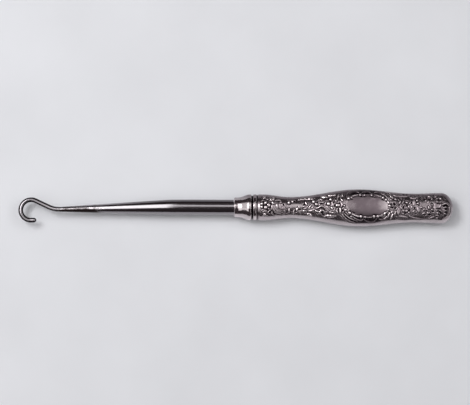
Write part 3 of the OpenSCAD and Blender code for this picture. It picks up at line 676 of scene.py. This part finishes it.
def turned_tree(material):
    """An outline of place and radius, turned about the shank's axis, with painted shade on the side towards
    +Y.
    """
    tree, given, sockets = new_tree("turned_piece", (
        ("Outline", "Geometry"), ("Sides", "Int"), ("Axis Height", "Float"), ("Side Painted Shade", "Float"),
    ))
    position = add(tree, "GeometryNodeInputPosition")
    tarnish = add(tree, "GeometryNodeInputNamedAttribute", {"Name": "tarnish"}, data_type="FLOAT")
    size = add(tree, "GeometryNodeAttributeDomainSize", {"Geometry": given["Outline"]})
    count = size.outputs["Point Count"]
    around = add(tree, "ShaderNodeMath", {0: given["Sides"], 1: 1.0}, operation="ADD")
    grid = add(tree, "GeometryNodeMeshGrid", {
        "Size X": 1.0, "Size Y": 1.0, "Vertices X": count, "Vertices Y": around,
    })
    place = add(tree, "ShaderNodeSeparateXYZ", {0: position}).outputs
    share = add(tree, "ShaderNodeMath", {0: place["X"], 1: 0.5}, operation="ADD")
    last = add(tree, "ShaderNodeMath", {0: count, 1: 1.0}, operation="SUBTRACT")
    step = add(tree, "ShaderNodeMath", {0: share, 1: last}, operation="MULTIPLY")
    sample = {
        "Geometry": given["Outline"], "Index": add(tree, "ShaderNodeMath", {0: step}, operation="ROUND"),
    }
    point = add(tree, "GeometryNodeSampleIndex", {**sample, "Value": position}, data_type="FLOAT_VECTOR")
    turn = add(tree, "ShaderNodeMath", {0: place["Y"], 1: 2 * math.pi}, operation="MULTIPLY")
    spun = add(tree, "ShaderNodeVectorRotate", {"Vector": point, "Angle": turn}, rotation_type="X_AXIS")
    lift = add(tree, "ShaderNodeCombineXYZ", {"Z": given["Axis Height"]})
    raised = add(tree, "ShaderNodeVectorMath", {0: spun, 1: lift}, operation="ADD")
    dark = add(tree, "GeometryNodeSampleIndex", {**sample, "Value": tarnish}, data_type="FLOAT")
    marked = add(tree, "GeometryNodeStoreNamedAttribute", {
        "Geometry": grid, "Name": "tarnish", "Value": dark,
    }, data_type="FLOAT", domain="POINT")
    shaped = add(tree, "GeometryNodeSetPosition", {"Geometry": marked, "Position": raised})
    # Painted shade on the side towards +Y, added to the tarnish
    painted_shade = add(tree, "ShaderNodeMapRange", {
        "Value": place["Y"], "From Min": TURNED_SHADE_MM[0] * MM, "From Max": TURNED_SHADE_MM[1] * MM,
        "To Max": given["Side Painted Shade"],
    }, interpolation_type="SMOOTHSTEP")
    total = add(tree, "ShaderNodeMath", {0: tarnish, 1: painted_shade}, operation="ADD", use_clamp=True)
    shaded = add(tree, "GeometryNodeStoreNamedAttribute", {
        "Geometry": shaped, "Name": "tarnish", "Value": total,
    }, data_type="FLOAT", domain="POINT")
    closed = add(tree, "GeometryNodeMergeByDistance", {"Geometry": shaded, "Distance": WELD})
    end_tree(tree, closed, material)
    return tree, sockets


def turned_piece(name, outline_mm, tarnish, settings):
    """Turn a closed outline of place and radius, with a tarnish for each of its points."""
    points = [(FERRULE_FRONT_X + x * MM, 0.0, r * MM) for x, r in outline_mm + outline_mm[:1]]
    source = outline_mesh(name + "_outline", points, "tarnish", tarnish + tarnish[:1])
    tree, sockets = turned_tree(polished_silver(settings.colours))
    piece = grow(name, source, tree, sockets, {
        "Sides": settings.sizes.sides, "Axis Height": AXIS_Z, "Side Painted Shade": TURNED_PAINTED_SHADE,
    })
    finish_piece(piece, name)


def finish_piece(piece, node):
    """Smooth a piece but for its hard edges, and let it stand for its CAD node."""
    mesh = piece.data
    mesh.polygons.foreach_set("use_smooth", [True] * len(mesh.polygons))
    mesh.set_sharp_from_angle(angle=SHARP_ANGLE)
    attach(piece, BODY)
    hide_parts(node)


def hook_path(sizes):
    """Points of the hook's middle line from its point to the end of the spigot, with radii."""
    wire = sizes.wire_diameter / 2
    loop = sizes.loop_radius
    bend = sizes.bend_radius
    leg = sizes.leg_angle
    bend_x = -(sizes.shank_length + sizes.taper_length)
    corner_x = bend_x - bend * math.tan(leg / 2)
    loop_x = corner_x - loop / math.sin(leg)
    path = []
    for i in range(POINT_STEPS + 1):
        turn = math.pi / 2 * i / POINT_STEPS
        x = loop_x + sizes.point_length + wire * math.cos(turn)
        path.append((x, -loop, wire * max(POINT_END, math.sin(turn))))
    for i in range(LOOP_STEPS + 1):
        turn = math.radians(270) - (math.pi + leg) * i / LOOP_STEPS
        path.append((loop_x + loop * math.cos(turn), loop * math.sin(turn), wire))
    for i in range(BEND_STEPS + 1):
        turn = -math.pi / 2 - leg + leg * i / BEND_STEPS
        path.append((bend_x + bend * math.cos(turn), bend * (1 + math.sin(turn)), wire))
    c, s = math.cos(sizes.lean), math.sin(sizes.lean)
    pivot = -sizes.shank_length
    path = [(pivot + c * (x - pivot) - s * y, s * (x - pivot) + c * y, r) for x, y, r in path]
    shank = sizes.shank_diameter / 2
    for i in range(1, SHANK_STEPS + 1):
        x = bend_x * (1 - i / SHANK_STEPS)
        eased = (x - pivot - math.hypot(x - pivot, sizes.taper_blend)) / 2
        path.append((x, eased * math.tan(sizes.lean), shank + (shank - wire) / sizes.taper_length * eased))
    spigot = sizes.spigot_diameter / 2
    return path + [(SHOULDER_MM * MM, 0.0, spigot), (sizes.spigot_length, 0.0, spigot)]


def smooth_step(low, high, values):
    """0 up to low, 1 from high on, and a smooth rise between them."""
    share = np.clip((values - low) / (high - low), 0.0, 1.0)
    return share * share * (3 - 2 * share)


class BUTTONHOOK_OT_steel_hook(bpy.types.Operator):
    """Sweep the steel hook, shank and tang along their path"""

    bl_idname = "button_hook.steel_hook"
    bl_label = "Steel hook"

    def execute(self, context):
        settings = context.scene.button_hook
        sizes = settings.sizes
        path = hook_path(sizes)
        points = [(FERRULE_FRONT_X + x, y, AXIS_Z) for x, y, _ in path]
        source = outline_mesh("hook_path", points, "bar_radius", [r for _, _, r in path])
        tree, sockets = sweep_tree(polished_steel(settings.colours))
        tang_x = FERRULE_FRONT_X + sizes.spigot_length
        piece = grow("steel_hook_bar", source, tree, sockets, {
            "Sides": sizes.sides,
            "Tang Start": (tang_x - TANG_LAP_MM * MM, 0.0, AXIS_Z),
            "Tang End": (tang_x + sizes.tang_length, 0.0, AXIS_Z),
            "Tang Root": sizes.tang_root,
            "Tang Tip": sizes.tang_tip,
        })
        self.mark_wear_and_painted_light(piece.data, sizes)
        finish_piece(piece, "steel_hook")
        return {"FINISHED"}

    def mark_wear_and_painted_light(self, mesh, sizes):
        """Mark where the steel is rusted, from the neck to part way up the taper and most of all below,
        and where it is dark steel: at the hook, with painted shade at the wire's edges and a painted
        highlight along its crest, leg and point, and as painted shade along the shank's sides."""
        places = np.empty(3 * len(mesh.vertices))
        mesh.vertices.foreach_get("co", places)
        x, y, z = places.reshape(-1, 3).T
        x = (x - FERRULE_FRONT_X) / MM
        y = y / MM - np.minimum(x + sizes.shank_length / MM, 0.0) * math.tan(sizes.lean)
        rust = smooth_step(*RUST_BEGINS, x) * (1 - smooth_step(*RUST_ENDS, x))
        side = RUST_ON_TOP + (1 - RUST_ON_TOP) * smooth_step(*RUST_BELOW, -y)
        hook = 1 - smooth_step(*DARK_HOOK_ENDS, x)
        mark(mesh, "wear", SOUND_WEAR + HOOK_WEAR * hook * (1 - rust) + RUST_WEAR * rust * side)
        # Painted shade on the shank's two sides, towards +Y and towards -Y
        painted_side_shade = UPPER_PAINTED_SHADE * smooth_step(*UPPER_SIDE, y) + LOWER_PAINTED_SHADE * smooth_step(*LOWER_SIDE, -y)
        # A painted highlight along the hook's crest, stronger on its leg and at its point, clears it of dark
        # steel; its edges stay dark as painted shade
        crest = smooth_step(*CREST, np.abs(z - AXIS_Z) / (sizes.wire_diameter / 2))
        point = smooth_step(*POINT, x) * smooth_step(*POINT_SIDE, -y)
        painted_highlight = CREST_PAINTED_HIGHLIGHT + LEG_PAINTED_HIGHLIGHT * smooth_step(*LEG, x) + POINT_PAINTED_HIGHLIGHT * point
        mark(mesh, "dark_steel_and_painted_shade", np.maximum(hook * (1 - painted_highlight * crest), (1 - hook) * painted_side_shade))


class BUTTONHOOK_OT_ferrule(bpy.types.Operator):
    """Turn the flared ferrule and its sleeve"""

    bl_idname = "button_hook.ferrule"
    bl_label = "Ferrule"

    def execute(self, context):
        settings = context.scene.button_hook
        collar = settings.sizes.collar_diameter / MM / 2
        x, r, size, turns = FERRULE_EDGE
        edge = [(x - size * math.cos(a), r + size * math.sin(a)) for a in turns]
        band = [(place, collar - depth) for place, depth in FERRULE_BAND]
        bright = FERRULE_HOLE + edge + FERRULE_FLARE + band
        tarnish = [BRIGHT] * len(bright) + [BLACK] * len(FERRULE_SLEEVE)
        turned_piece("ferrule", bright + FERRULE_SLEEVE, tarnish, settings)
        return {"FINISHED"}


class BUTTONHOOK_OT_collar_ring(bpy.types.Operator):
    """Turn the rounded ring between the two grooves"""

    bl_idname = "button_hook.collar_ring"
    bl_label = "Collar ring"

    def execute(self, context):
        settings = context.scene.button_hook
        r = settings.sizes.collar_diameter / MM / 2 - RING_EDGE
        front, back = RING_FRONT + RING_EDGE, RING_BACK - RING_EDGE
        crown = [(front - RING_EDGE * math.cos(a), r + RING_EDGE * math.sin(a)) for a in RING_TURNS]
        crown += [(back + RING_EDGE * math.sin(a), r + RING_EDGE * math.cos(a)) for a in RING_TURNS]
        shoulder = [(RING_BACK + place, radius) for place, radius in RING_SHOULDER]
        top = [BRIGHT] * (len(crown) - 2 * len(RING_FLANK))
        tarnish = RING_FLANK + top + RING_FLANK[::-1] + RING_GROOVE
        turned_piece("collar_ring", crown + shoulder + [(RING_FRONT, RING_BORE)], tarnish, settings)
        return {"FINISHED"}


def handle_size(places, column):
    """Width or thickness of the handle at places along it, level at each key."""
    keys = np.array(HANDLE_KEYS)
    stretch = np.clip(np.searchsorted(keys[:, 0], places, side="right") - 1, 0, len(keys) - 2)
    start, end = keys[stretch], keys[stretch + 1]
    share = np.clip((places - start[:, 0]) / (end[:, 0] - start[:, 0]), 0.0, 1.0)
    return start[:, column] + (end[:, column] - start[:, column]) * (1 - np.cos(np.pi * share)) / 2


def curve_through(points, steps=10):
    """Points of a smooth curve through the given ones."""
    points = np.array(points, float)
    padded = np.vstack([2 * points[0] - points[1], points, 2 * points[-1] - points[-2]])
    out = []
    for i in range(1, len(padded) - 2):
        a, b, c, d = padded[i - 1:i + 3]
        for t in np.linspace(0.0, 1.0, steps, endpoint=False):
            out.append(
                0.5 * (2 * b + (c - a) * t + (2 * a - 5 * b + 4 * c - d) * t ** 2
                       + (3 * b - a - 3 * c + d) * t ** 3)
            )
    return np.vstack([out, points[-1]])


def bell(values, middle, spread):
    """1 at the middle, falling away to both sides."""
    return np.exp(-((values - middle) / spread) ** 2)


class StruckDie:
    """Height of the struck ornament over the plain handle, on a grid of places seen from above.

    Heights are millimetres. A share is how far out of a form a place lies, 1 being its edge.
    """

    GROUND, HOLLOW, GROOVE = -0.06, 0.30, 0.22  # height of the ground, and depths below it
    FOOT, FOOT_BELL = 0.10, (1.25, 0.3)  # depth of the dip round a form, and the shares it lies at
    RIM, RIM_BELL = 0.6, (1.2, 0.25)  # oxide in that dip
    FULL_RISE = 0.3  # forms that rise less have a shallower dip
    CROWN, FLANK_CROWN, MOST_CROWN = 0.2, 0.4, 0.7  # of the width, more on the flanks, most of the rise
    FLANK_LEAN, STEEPNESS = 0.5, 6  # how far a form leans on the flanks, and how steep its sides are
    LEAF, LEAF_POINT = 1.45, 1.6  # how much longer than wide a leaf is, and how its ends narrow
    LINE_THIN, LINE_FULL, LINE_ENDS = 0.5, 0.6, (0.08, 0.84)  # width of a line along its length
    # Shares between which the edge of a form, a hollow, the oval and a plain place fades
    EDGE, HOLLOW_EDGE, OVAL_EDGE, PLACE_EDGE = (0.8, 1.0), (0.6, 1.15), (0.96, 1.02), (0.6, 1.0)
    TALL, TALL_OVER = 0.25, 0.1  # forms taller than this are rubbed, fully so this much higher
    OVAL_STEPS, OVAL_MARGIN = 12, 0.5  # steps between the oval's points, and the rows round it
    OVAL_FLAT, OVAL_SUNK, OVAL_ENDS_UP = 0.45, 0.32, 0.3  # how flat and deep it is, less deep at its ends

    def __init__(self, grid):
        self.x, self.y, self.z = grid[..., 0], grid[..., 1], grid[..., 2]
        self.height = np.full(self.x.shape, self.GROUND)
        self.plain, self.oxide, self.raised, self.rubbed = np.zeros((4,) + self.x.shape)
        normals = grid_normals(grid)
        self.tilt = np.linalg.norm(normals[..., :2], axis=-1)
        self.downhill = normals[..., :2] / np.maximum(self.tilt, 1e-6)[..., None]

    def rows(self, low, high):
        """Rows of the grid between two places along the handle."""
        near = np.nonzero((self.x.max(axis=1) >= low) & (self.x.min(axis=1) <= high))[0]
        return slice(near[0], near[-1] + 1) if len(near) else slice(0, 0)

    def outer(self, rows, across, up, width):
        """How far each place lies down the handle's slope from a form's middle, 1 being its half width."""
        downhill = self.downhill[rows]
        return np.clip((across * downhill[..., 0] + up * downhill[..., 1]) / width, -1.0, 1.0)

    def oval_share(self, x, y, half_length, half_width=None, turn=0.0):
        """Rows round a form, each place's share, its half width, and how far down the slope places lie.

        A form that is longer than wide is a leaf with pointed ends and a keel; a short one is round.
        """
        half_width = half_width or half_length
        reach = 2 * max(half_length, half_width)
        rows = self.rows(x - reach, x + reach)
        c, s = math.cos(math.radians(turn)), math.sin(math.radians(turn))
        across, up = self.x[rows] - x, self.y[rows] - y
        along, side = np.abs(c * across + s * up) / half_length, np.abs(c * up - s * across) / half_width
        leaf = half_length > self.LEAF * half_width
        share = along ** self.LEAF_POINT + side if leaf else np.hypot(along, side)
        width = min(half_length, half_width)
        return rows, share, width, self.outer(rows, across, up, width)

    def line_share(self, half_width, points):
        """The same of a line that thins to its ends, through points given as x, y, x, y and so on."""
        path = curve_through(np.reshape(points, (-1, 2)))
        rows = self.rows(path[:, 0].min() - 2 * half_width, path[:, 0].max() + 2 * half_width)
        gaps = (self.x[rows][..., None] - path[:, 0]) ** 2 + (self.y[rows][..., None] - path[:, 1]) ** 2
        nearest = gaps.argmin(axis=-1)
        start, span = self.LINE_ENDS
        along = start + span * (nearest / (len(path) - 1))
        width = half_width * (self.LINE_THIN + self.LINE_FULL * np.sin(np.pi * along))
        across, up = self.x[rows] - path[nearest, 0], self.y[rows] - path[nearest, 1]
        return rows, np.sqrt(gaps.min(axis=-1)) / width, width, self.outer(rows, across, up, width)

    def lift(self, rows, share, width, outer, top):
        """Raise a form with a low round crown on steep sides, with a dip cut round its foot.

        On the flanks its outer side stands higher, so that the crown is turned up to the light.
        """
        rise = (top - self.GROUND) * np.sqrt(width / np.max(width))
        strength = np.clip(rise / self.FULL_RISE, 0.0, 1.0)
        dip = strength * self.FOOT * bell(share, *self.FOOT_BELL) * (share > 1)
        crown = np.minimum(self.MOST_CROWN * rise, width * (self.CROWN + self.FLANK_CROWN * self.tilt[rows]))
        inner = np.clip(share, 0.0, 1.0)
        level = 1 - inner ** self.STEEPNESS
        dome = self.GROUND + rise - crown * inner ** 2 - (rise - crown) * (1 - np.sqrt(level))
        dome = dome + self.FLANK_LEAN * self.tilt[rows] * width * outer * level
        below = self.height[rows] - dip
        self.height[rows] = np.where(share < 1, np.maximum(below, dome), below)
        rim = strength * self.RIM * bell(share, *self.RIM_BELL)
        self.oxide[rows] = np.where(share < 1, rim, np.maximum(self.oxide[rows], rim))
        self.raised[rows] = np.maximum(self.raised[rows], 1 - smooth_step(*self.EDGE, share))
        bright = np.clip((top - self.TALL) / self.TALL_OVER, 0.0, 1.0) * (1 - inner ** 2)
        self.rubbed[rows] = np.maximum(self.rubbed[rows], bright)

    def cut(self, rows, share, _width, _outer, depth):
        """Sink a round-bottomed hollow."""
        bowl = self.GROUND - depth * np.sqrt(np.clip(1 - share ** 2, 0.0, 1.0))
        self.height[rows] = np.where(share < 1, np.minimum(self.height[rows], bowl), self.height[rows])
        self.oxide[rows] = np.maximum(self.oxide[rows], 1 - smooth_step(*self.HOLLOW_EDGE, share))
        self.raised[rows] *= smooth_step(*self.EDGE, share)
        self.rubbed[rows] *= smooth_step(*self.EDGE, share)

    def plain_oval(self, outline):
        """The plain oval: a smooth field, flatter across than the handle, bounded by its outline."""
        ring = curve_through(list(outline) + [outline[0]], self.OVAL_STEPS)
        centre = ring.mean(axis=0)
        rows = self.rows(ring[:, 0].min() - self.OVAL_MARGIN, ring[:, 0].max() + self.OVAL_MARGIN)
        across, up = self.x[rows] - centre[0], self.y[rows] - centre[1]
        turns = np.arctan2(ring[:, 1] - centre[1], ring[:, 0] - centre[0])
        reach = np.hypot(ring[:, 0] - centre[0], ring[:, 1] - centre[1])
        order = np.argsort(turns)
        edge = np.interp(np.arctan2(up, across), turns[order], reach[order], period=2 * math.pi)
        inside = 1 - smooth_step(*self.OVAL_EDGE, np.hypot(across, up) / edge)
        crown = self.z[rows].max(axis=1, keepdims=True)
        sunk = self.OVAL_SUNK * (1 - self.OVAL_ENDS_UP * (across / reach.max()) ** 2)
        field = self.OVAL_FLAT * (crown - self.z[rows]) - sunk
        self.height[rows] = self.height[rows] * (1 - inside) + field * inside
        self.plain[rows] = np.maximum(self.plain[rows], inside)
        self.oxide[rows] *= 1 - inside

    def plain_place(self, x, y, half_length, half_width):
        """A plain place on the neck."""
        rows = self.rows(x - half_length, x + half_length)
        share = np.hypot((self.x[rows] - x) / half_length, (self.y[rows] - y) / half_width)
        inside = 1 - smooth_step(*self.PLACE_EDGE, share)
        self.height[rows] = self.height[rows] * (1 - inside)
        self.plain[rows] = np.maximum(self.plain[rows], inside)

    def pebbles(self):
        """Pebble the ground, as a hammered die does."""
        rng = np.random.default_rng(PEBBLE_SEED)
        for _ in range(PEBBLES):
            place, across, size = (rng.uniform(*each) for each in (PEBBLE_ALONG, PEBBLE_ACROSS, PEBBLE_SIZE))
            half = handle_size(np.array([place]), 1)[0] / 2
            rows, share, *_ = self.oval_share(place, across * half, size)
            self.height[rows] += rng.uniform(*PEBBLE_HEIGHT) * np.clip(1 - share ** 2, 0.0, 1.0)


def softened(values, passes=1):
    """Average a grid with its neighbours, as a worn die does."""
    for _ in range(passes):
        padded = np.pad(values, 1, mode="edge")
        values = (
            padded[:-2, 1:-1] + padded[2:, 1:-1] + padded[1:-1, :-2] + padded[1:-1, 2:] + 4 * values
        ) / 8
    return values


def handle_grid(columns):
    """Plain outer face of a half: places, and sections from one seam over the top to the other."""
    butt, *ends = HANDLE_KEYS[-1]
    body = np.linspace(HANDLE_KEYS[0][0], butt, BODY_ROWS, endpoint=False)
    turn = np.linspace(0.0, BUTT_TURN, BUTT_ROWS)
    along = np.concatenate([body, butt + (HANDLE_END_MM - butt) * np.sin(turn)])
    lip = LIP_MM * (1 - smooth_step(*LIP, along))
    width, thick = (
        np.concatenate([handle_size(body, i + 1), ends[i] * np.cos(turn)]) / 2 - lip for i in (0, 1)
    )
    around = np.interp(np.linspace(0.0, 1.0, columns + 1), SEAM_SHARES, SEAM_TURNS)
    x = np.repeat(along[:, None], columns + 1, axis=1)
    return np.stack([x, np.outer(width, np.cos(around)), np.outer(thick, np.sin(around))], axis=-1)


def grid_normals(grid):
    """Outward normals of a grid of places."""
    normals = np.cross(np.gradient(grid, axis=1), np.gradient(grid, axis=0))
    return normals / np.maximum(np.linalg.norm(normals, axis=-1, keepdims=True), 1e-9)


def strike(grid):
    """The die of a half, the height of its ornament, and which places lie inside the ornament."""
    die = StruckDie(grid)
    die.pebbles()
    die.plain_place(*PLAIN_PLACE)
    for half_width, top, *points in RIBS:
        die.lift(*die.line_share(half_width, points), top)
    die.plain_oval(OVAL)
    for half_width, top, *points in FRAME_RIBS:
        die.lift(*die.line_share(half_width, points), top)
    for half_width, *points in GROOVES:
        die.cut(*die.line_share(half_width, points), die.GROOVE)
    for *oval, top in BOSSES:
        die.lift(*die.oval_share(*oval), top)
    for oval in HOLLOWS:
        die.cut(*die.oval_share(*oval), die.HOLLOW)
    upper, lower = (np.interp(die.x, *np.array(edge).T) for edge in (UPPER_EDGE, LOWER_EDGE))
    inside = smooth_step(*ORNAMENT_EDGE, upper - die.y) * smooth_step(*ORNAMENT_EDGE, die.y - lower)
    inside *= smooth_step(*ORNAMENT_BEGINS, die.x) * (1 - smooth_step(*ORNAMENT_ENDS, die.x))
    return die, softened(die.height) * inside, inside


def tarnish_and_painted_light(die, height, inside, turn):
    """How dark each place of a half is, and how matted. Besides tarnish and oxide it holds painted light and
    shade:
    painted shade on the outer parts and along the oval's frame, painted light on the strip below the middle
    and on the neck, and painted highlights at the oval's ends with painted shade along its bottom.

    turn is 1 for the front half and -1 for the back: the plain sides carry painted shade, darker towards +Y
    on both.
    """
    x, y = die.x, die.y
    butt = smooth_step(*BUTT, x)
    ground, proud, strip_painted_light, form = (
        first + change * butt
        for first, change in (ORNAMENT_TARNISH, PROUD_RUBBED, STRIP_PAINTED_LIGHT, FORM_RUBBED)
    )
    tarnish = ground - proud * (height - softened(height, PROUD_PASSES)) - form * die.rubbed
    # Painted light on the strip below the middle
    tarnish -= strip_painted_light * smooth_step(*STRIP_BEGINS, -y) * (1 - smooth_step(*STRIP_ENDS, -y))
    # Painted shade on the outer parts of the ornament
    tarnish += OUTER_PAINTED_SHADE * smooth_step(*OUTER, np.abs(y))
    plain = np.maximum(die.plain * (1 - die.raised), 1 - inside)
    # Painted shade on the plain sides, darker towards +Y
    side = SIDE_TARNISH_AND_PAINTED_SHADE[0] + SIDE_TARNISH_AND_PAINTED_SHADE[1] * smooth_step(*SIDE_FADE, turn * y)
    field = PLAIN_TARNISH[0] + PLAIN_TARNISH[1] * smooth_step(*NECK_TO_OVAL, x)
    tarnish = tarnish * (1 - plain) + (field * inside + side * (1 - inside)) * plain
    tarnish = tarnish + (1.0 - tarnish) * softened(die.oxide) * inside
    ornament = (1 - die.plain) * (1 - RAISED_KEPT * die.raised)
    # Painted light and shade in places on the ornament and in the oval
    for places, surface in ((ORNAMENT_PAINTED_LIGHT_AND_SHADE, ornament), (OVAL_PAINTED_LIGHT_AND_SHADE, die.plain)):
        for x0, y0, half_length, half_width, amount in places:
            share = np.hypot((x - x0) / half_length, (y - y0) / half_width)
            tarnish -= amount * (1 - smooth_step(*PLACE_FADE, share)) * surface
    lip = 1 - smooth_step(*LIP, x)
    tarnish = np.clip(tarnish * (1 - lip) + LIP_TARNISH * lip, 0.0, 1.0)
    return tarnish, inside * (1 - plain) * (1 - die.raised)


def quads(numbers):
    """Faces between the rows and columns of a grid of point numbers."""
    corners = numbers[:-1, :-1], numbers[1:, :-1], numbers[1:, 1:], numbers[:-1, 1:]
    return np.stack(corners, axis=-1).reshape(-1, 4).tolist()


def half_mesh(name, points, tarnish, matted, inner):
    """Closed mesh of one half: relief outside, plain sheet inside, joined along the seams and mouth."""
    rows, columns = points.shape[:2]
    inner_columns = inner.shape[1]
    poles = np.array([[HANDLE_END_MM, 0.0, 0.0], [HANDLE_END_MM - SHEET_MM, 0.0, 0.0]])
    vertices = np.vstack([points.reshape(-1, 3), inner.reshape(-1, 3), poles])
    first = rows * columns
    outer_pole = first + rows * inner_columns
    outside = np.arange(first).reshape(rows, columns)
    within = np.arange(first, outer_pole).reshape(rows, inner_columns)
    left = np.stack([outside[:, 0], within[:, 0]])
    right = np.stack([outside[:, -1], within[:, -1]], axis=1)
    faces = [face for sheet in (outside, within.T, left, right) for face in quads(sheet)]
    end, inner_end = outside[-1].tolist(), within[-1].tolist()
    faces += [(a, outer_pole, b) for a, b in zip(end, end[1:])]
    faces += [(a, b, outer_pole + 1) for a, b in zip(inner_end, inner_end[1:])]
    faces.append((end[0], inner_end[0], outer_pole + 1, outer_pole))
    faces.append((end[-1], outer_pole, outer_pole + 1, inner_end[-1]))
    faces.append(outside[0].tolist() + within[0, ::-1].tolist())
    mesh = bpy.data.meshes.new(name)
    mesh.from_pydata((vertices * MM).tolist(), [], faces)
    sheet = np.ones(rows * inner_columns)
    mark(mesh, "tarnish", np.concatenate([tarnish.ravel(), sheet, [POLE_TARNISH, BLACK]]))
    mark(mesh, "matted", np.concatenate([matted.ravel(), 0 * sheet, [0.0, 0.0]]))
    return mesh


class BUTTONHOOK_OT_handle(bpy.types.Operator):
    """Strike the two halves of the handle, front and back from the same die"""

    bl_idname = "button_hook.handle"
    bl_label = "Handle halves"

    def execute(self, context):
        settings = context.scene.button_hook
        grid, inner = handle_grid(OUTER_COLUMNS), handle_grid(INNER_COLUMNS)
        inner = inner - grid_normals(inner) * SHEET_MM
        inner[:, (0, -1), 2] = 0.0
        die, height, inside = strike(grid)
        struck = grid + grid_normals(grid) * (settings.sizes.relief * height)[..., None]
        struck[:, (0, -1)] = grid[:, (0, -1)]
        material = struck_silver(settings.colours)
        for node, turn in (("handle_front_half", 1.0), ("handle_back_half", -1.0)):
            spin = np.array([1.0, turn, turn])
            tarnish, matted = tarnish_and_painted_light(die, height, inside, turn)
            mesh = half_mesh(node + "_struck", struck * spin, tarnish, matted, inner * spin)
            mesh.transform(Matrix.Translation((FERRULE_FRONT_X, 0.0, AXIS_Z)))
            mesh.materials.append(material)
            piece = bpy.data.objects.new(node + "_struck", mesh)
            context.scene.collection.objects.link(piece)
            finish_piece(piece, node)
        return {"FINISHED"}


class BUTTONHOOK_OT_filling(bpy.types.Operator):
    """Give the pitch filling its material"""

    bl_idname = "button_hook.filling"
    bl_label = "Pitch filling"

    def execute(self, context):
        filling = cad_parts["pitch_filling"]
        filling.data.materials.clear()
        filling.data.materials.append(hard_pitch(context.scene.button_hook.colours))
        return {"FINISHED"}


class BUTTONHOOK_OT_stage(bpy.types.Operator):
    """Set the pale floor, the soft light and the camera above the hook"""

    bl_idname = "button_hook.stage"
    bl_label = "Stage"

    def execute(self, context):
        scene = context.scene
        self.floor(scene)
        self.world(scene)
        for panel in PANELS:
            self.soft_panel(scene, *panel)
        self.camera(scene)
        scene.view_settings.view_transform = "Standard"
        return {"FINISHED"}

    def floor(self, scene):
        """A plain square board under the hook."""
        mesh = bpy.data.meshes.new("floor")
        corners = [(x * FLOOR_REACH, y * FLOOR_REACH, 0) for x, y in ((-1, -1), (1, -1), (1, 1), (-1, 1))]
        mesh.from_pydata(corners, [], [(0, 1, 2, 3)])
        mesh.materials.append(pale_floor(scene.button_hook.colours))
        floor = bpy.data.objects.new("floor", mesh)
        scene.collection.objects.link(floor)

    def world(self, scene):
        """A dim, even studio round the panels."""
        world = bpy.data.worlds.new("studio")
        world.use_nodes = True
        tree = world.node_tree
        tree.nodes.clear()
        sky = add(tree, "ShaderNodeBackground", {"Color": linear(WORLD_COLOUR), "Strength": WORLD_STRENGTH})
        add(tree, "ShaderNodeOutputWorld", {"Surface": sky})
        scene.world = world

    def soft_panel(self, scene, name, across, along, radiance):
        """A level panel of soft light above the hook, between two places each way, in metres."""
        lamp = bpy.data.lights.new(name, "AREA")
        lamp.shape = "RECTANGLE"
        lamp.size, lamp.size_y = across[1] - across[0], along[1] - along[0]
        lamp.energy = radiance * math.pi * lamp.size * lamp.size_y
        light = bpy.data.objects.new(name, lamp)
        light.location = (sum(across) / 2, sum(along) / 2, PANEL_HEIGHT)
        scene.collection.objects.link(light)

    def camera(self, scene):
        """A camera that looks steeply down on the hook."""
        lens = bpy.data.cameras.new("camera")
        lens.sensor_width = SENSOR_MM
        lens.lens = SENSOR_MM * CAMERA_DISTANCE / VIEW_WIDTH
        camera = bpy.data.objects.new("camera", lens)
        aim = Vector((0.0, -math.cos(CAMERA_ELEVATION), math.sin(CAMERA_ELEVATION)))
        camera.location = CAMERA_TARGET + CAMERA_DISTANCE * aim
        camera.rotation_euler = (math.pi / 2 - CAMERA_ELEVATION, 0.0, 0.0)
        camera.rotation_euler.rotate_axis("Z", CAMERA_ROLL)
        scene.collection.objects.link(camera)
        scene.camera = camera


class BUTTONHOOK_PT_panel(bpy.types.Panel):
    """Sizes, colours and steps of the button hook"""

    bl_idname = "BUTTONHOOK_PT_panel"
    bl_label = "Button hook"
    bl_space_type = "VIEW_3D"
    bl_region_type = "UI"
    bl_category = "Button hook"

    def draw(self, context):
        settings = context.scene.button_hook
        for group in (settings.sizes, settings.colours):
            box = self.layout.box()
            for name in group.__annotations__:
                box.prop(group, name)
        for step in STEPS:
            self.layout.operator(step.bl_idname)


STEPS = (
    BUTTONHOOK_OT_steel_hook,
    BUTTONHOOK_OT_ferrule,
    BUTTONHOOK_OT_collar_ring,
    BUTTONHOOK_OT_handle,
    BUTTONHOOK_OT_filling,
    BUTTONHOOK_OT_stage,
)
CLASSES = (ButtonHookSizes, ButtonHookColours, ButtonHookSettings) + STEPS + (BUTTONHOOK_PT_panel,)


def register():
    for each in CLASSES:
        bpy.utils.register_class(each)
    bpy.types.Scene.button_hook = PointerProperty(type=ButtonHookSettings)


def unregister():
    del bpy.types.Scene.button_hook
    for each in reversed(CLASSES):
        bpy.utils.unregister_class(each)


def main():
    register()
    bpy.ops.button_hook.steel_hook()
    bpy.ops.button_hook.ferrule()
    bpy.ops.button_hook.collar_ring()
    bpy.ops.button_hook.handle()
    bpy.ops.button_hook.filling()
    bpy.ops.button_hook.stage()


if __name__ == "__main__":
    main()
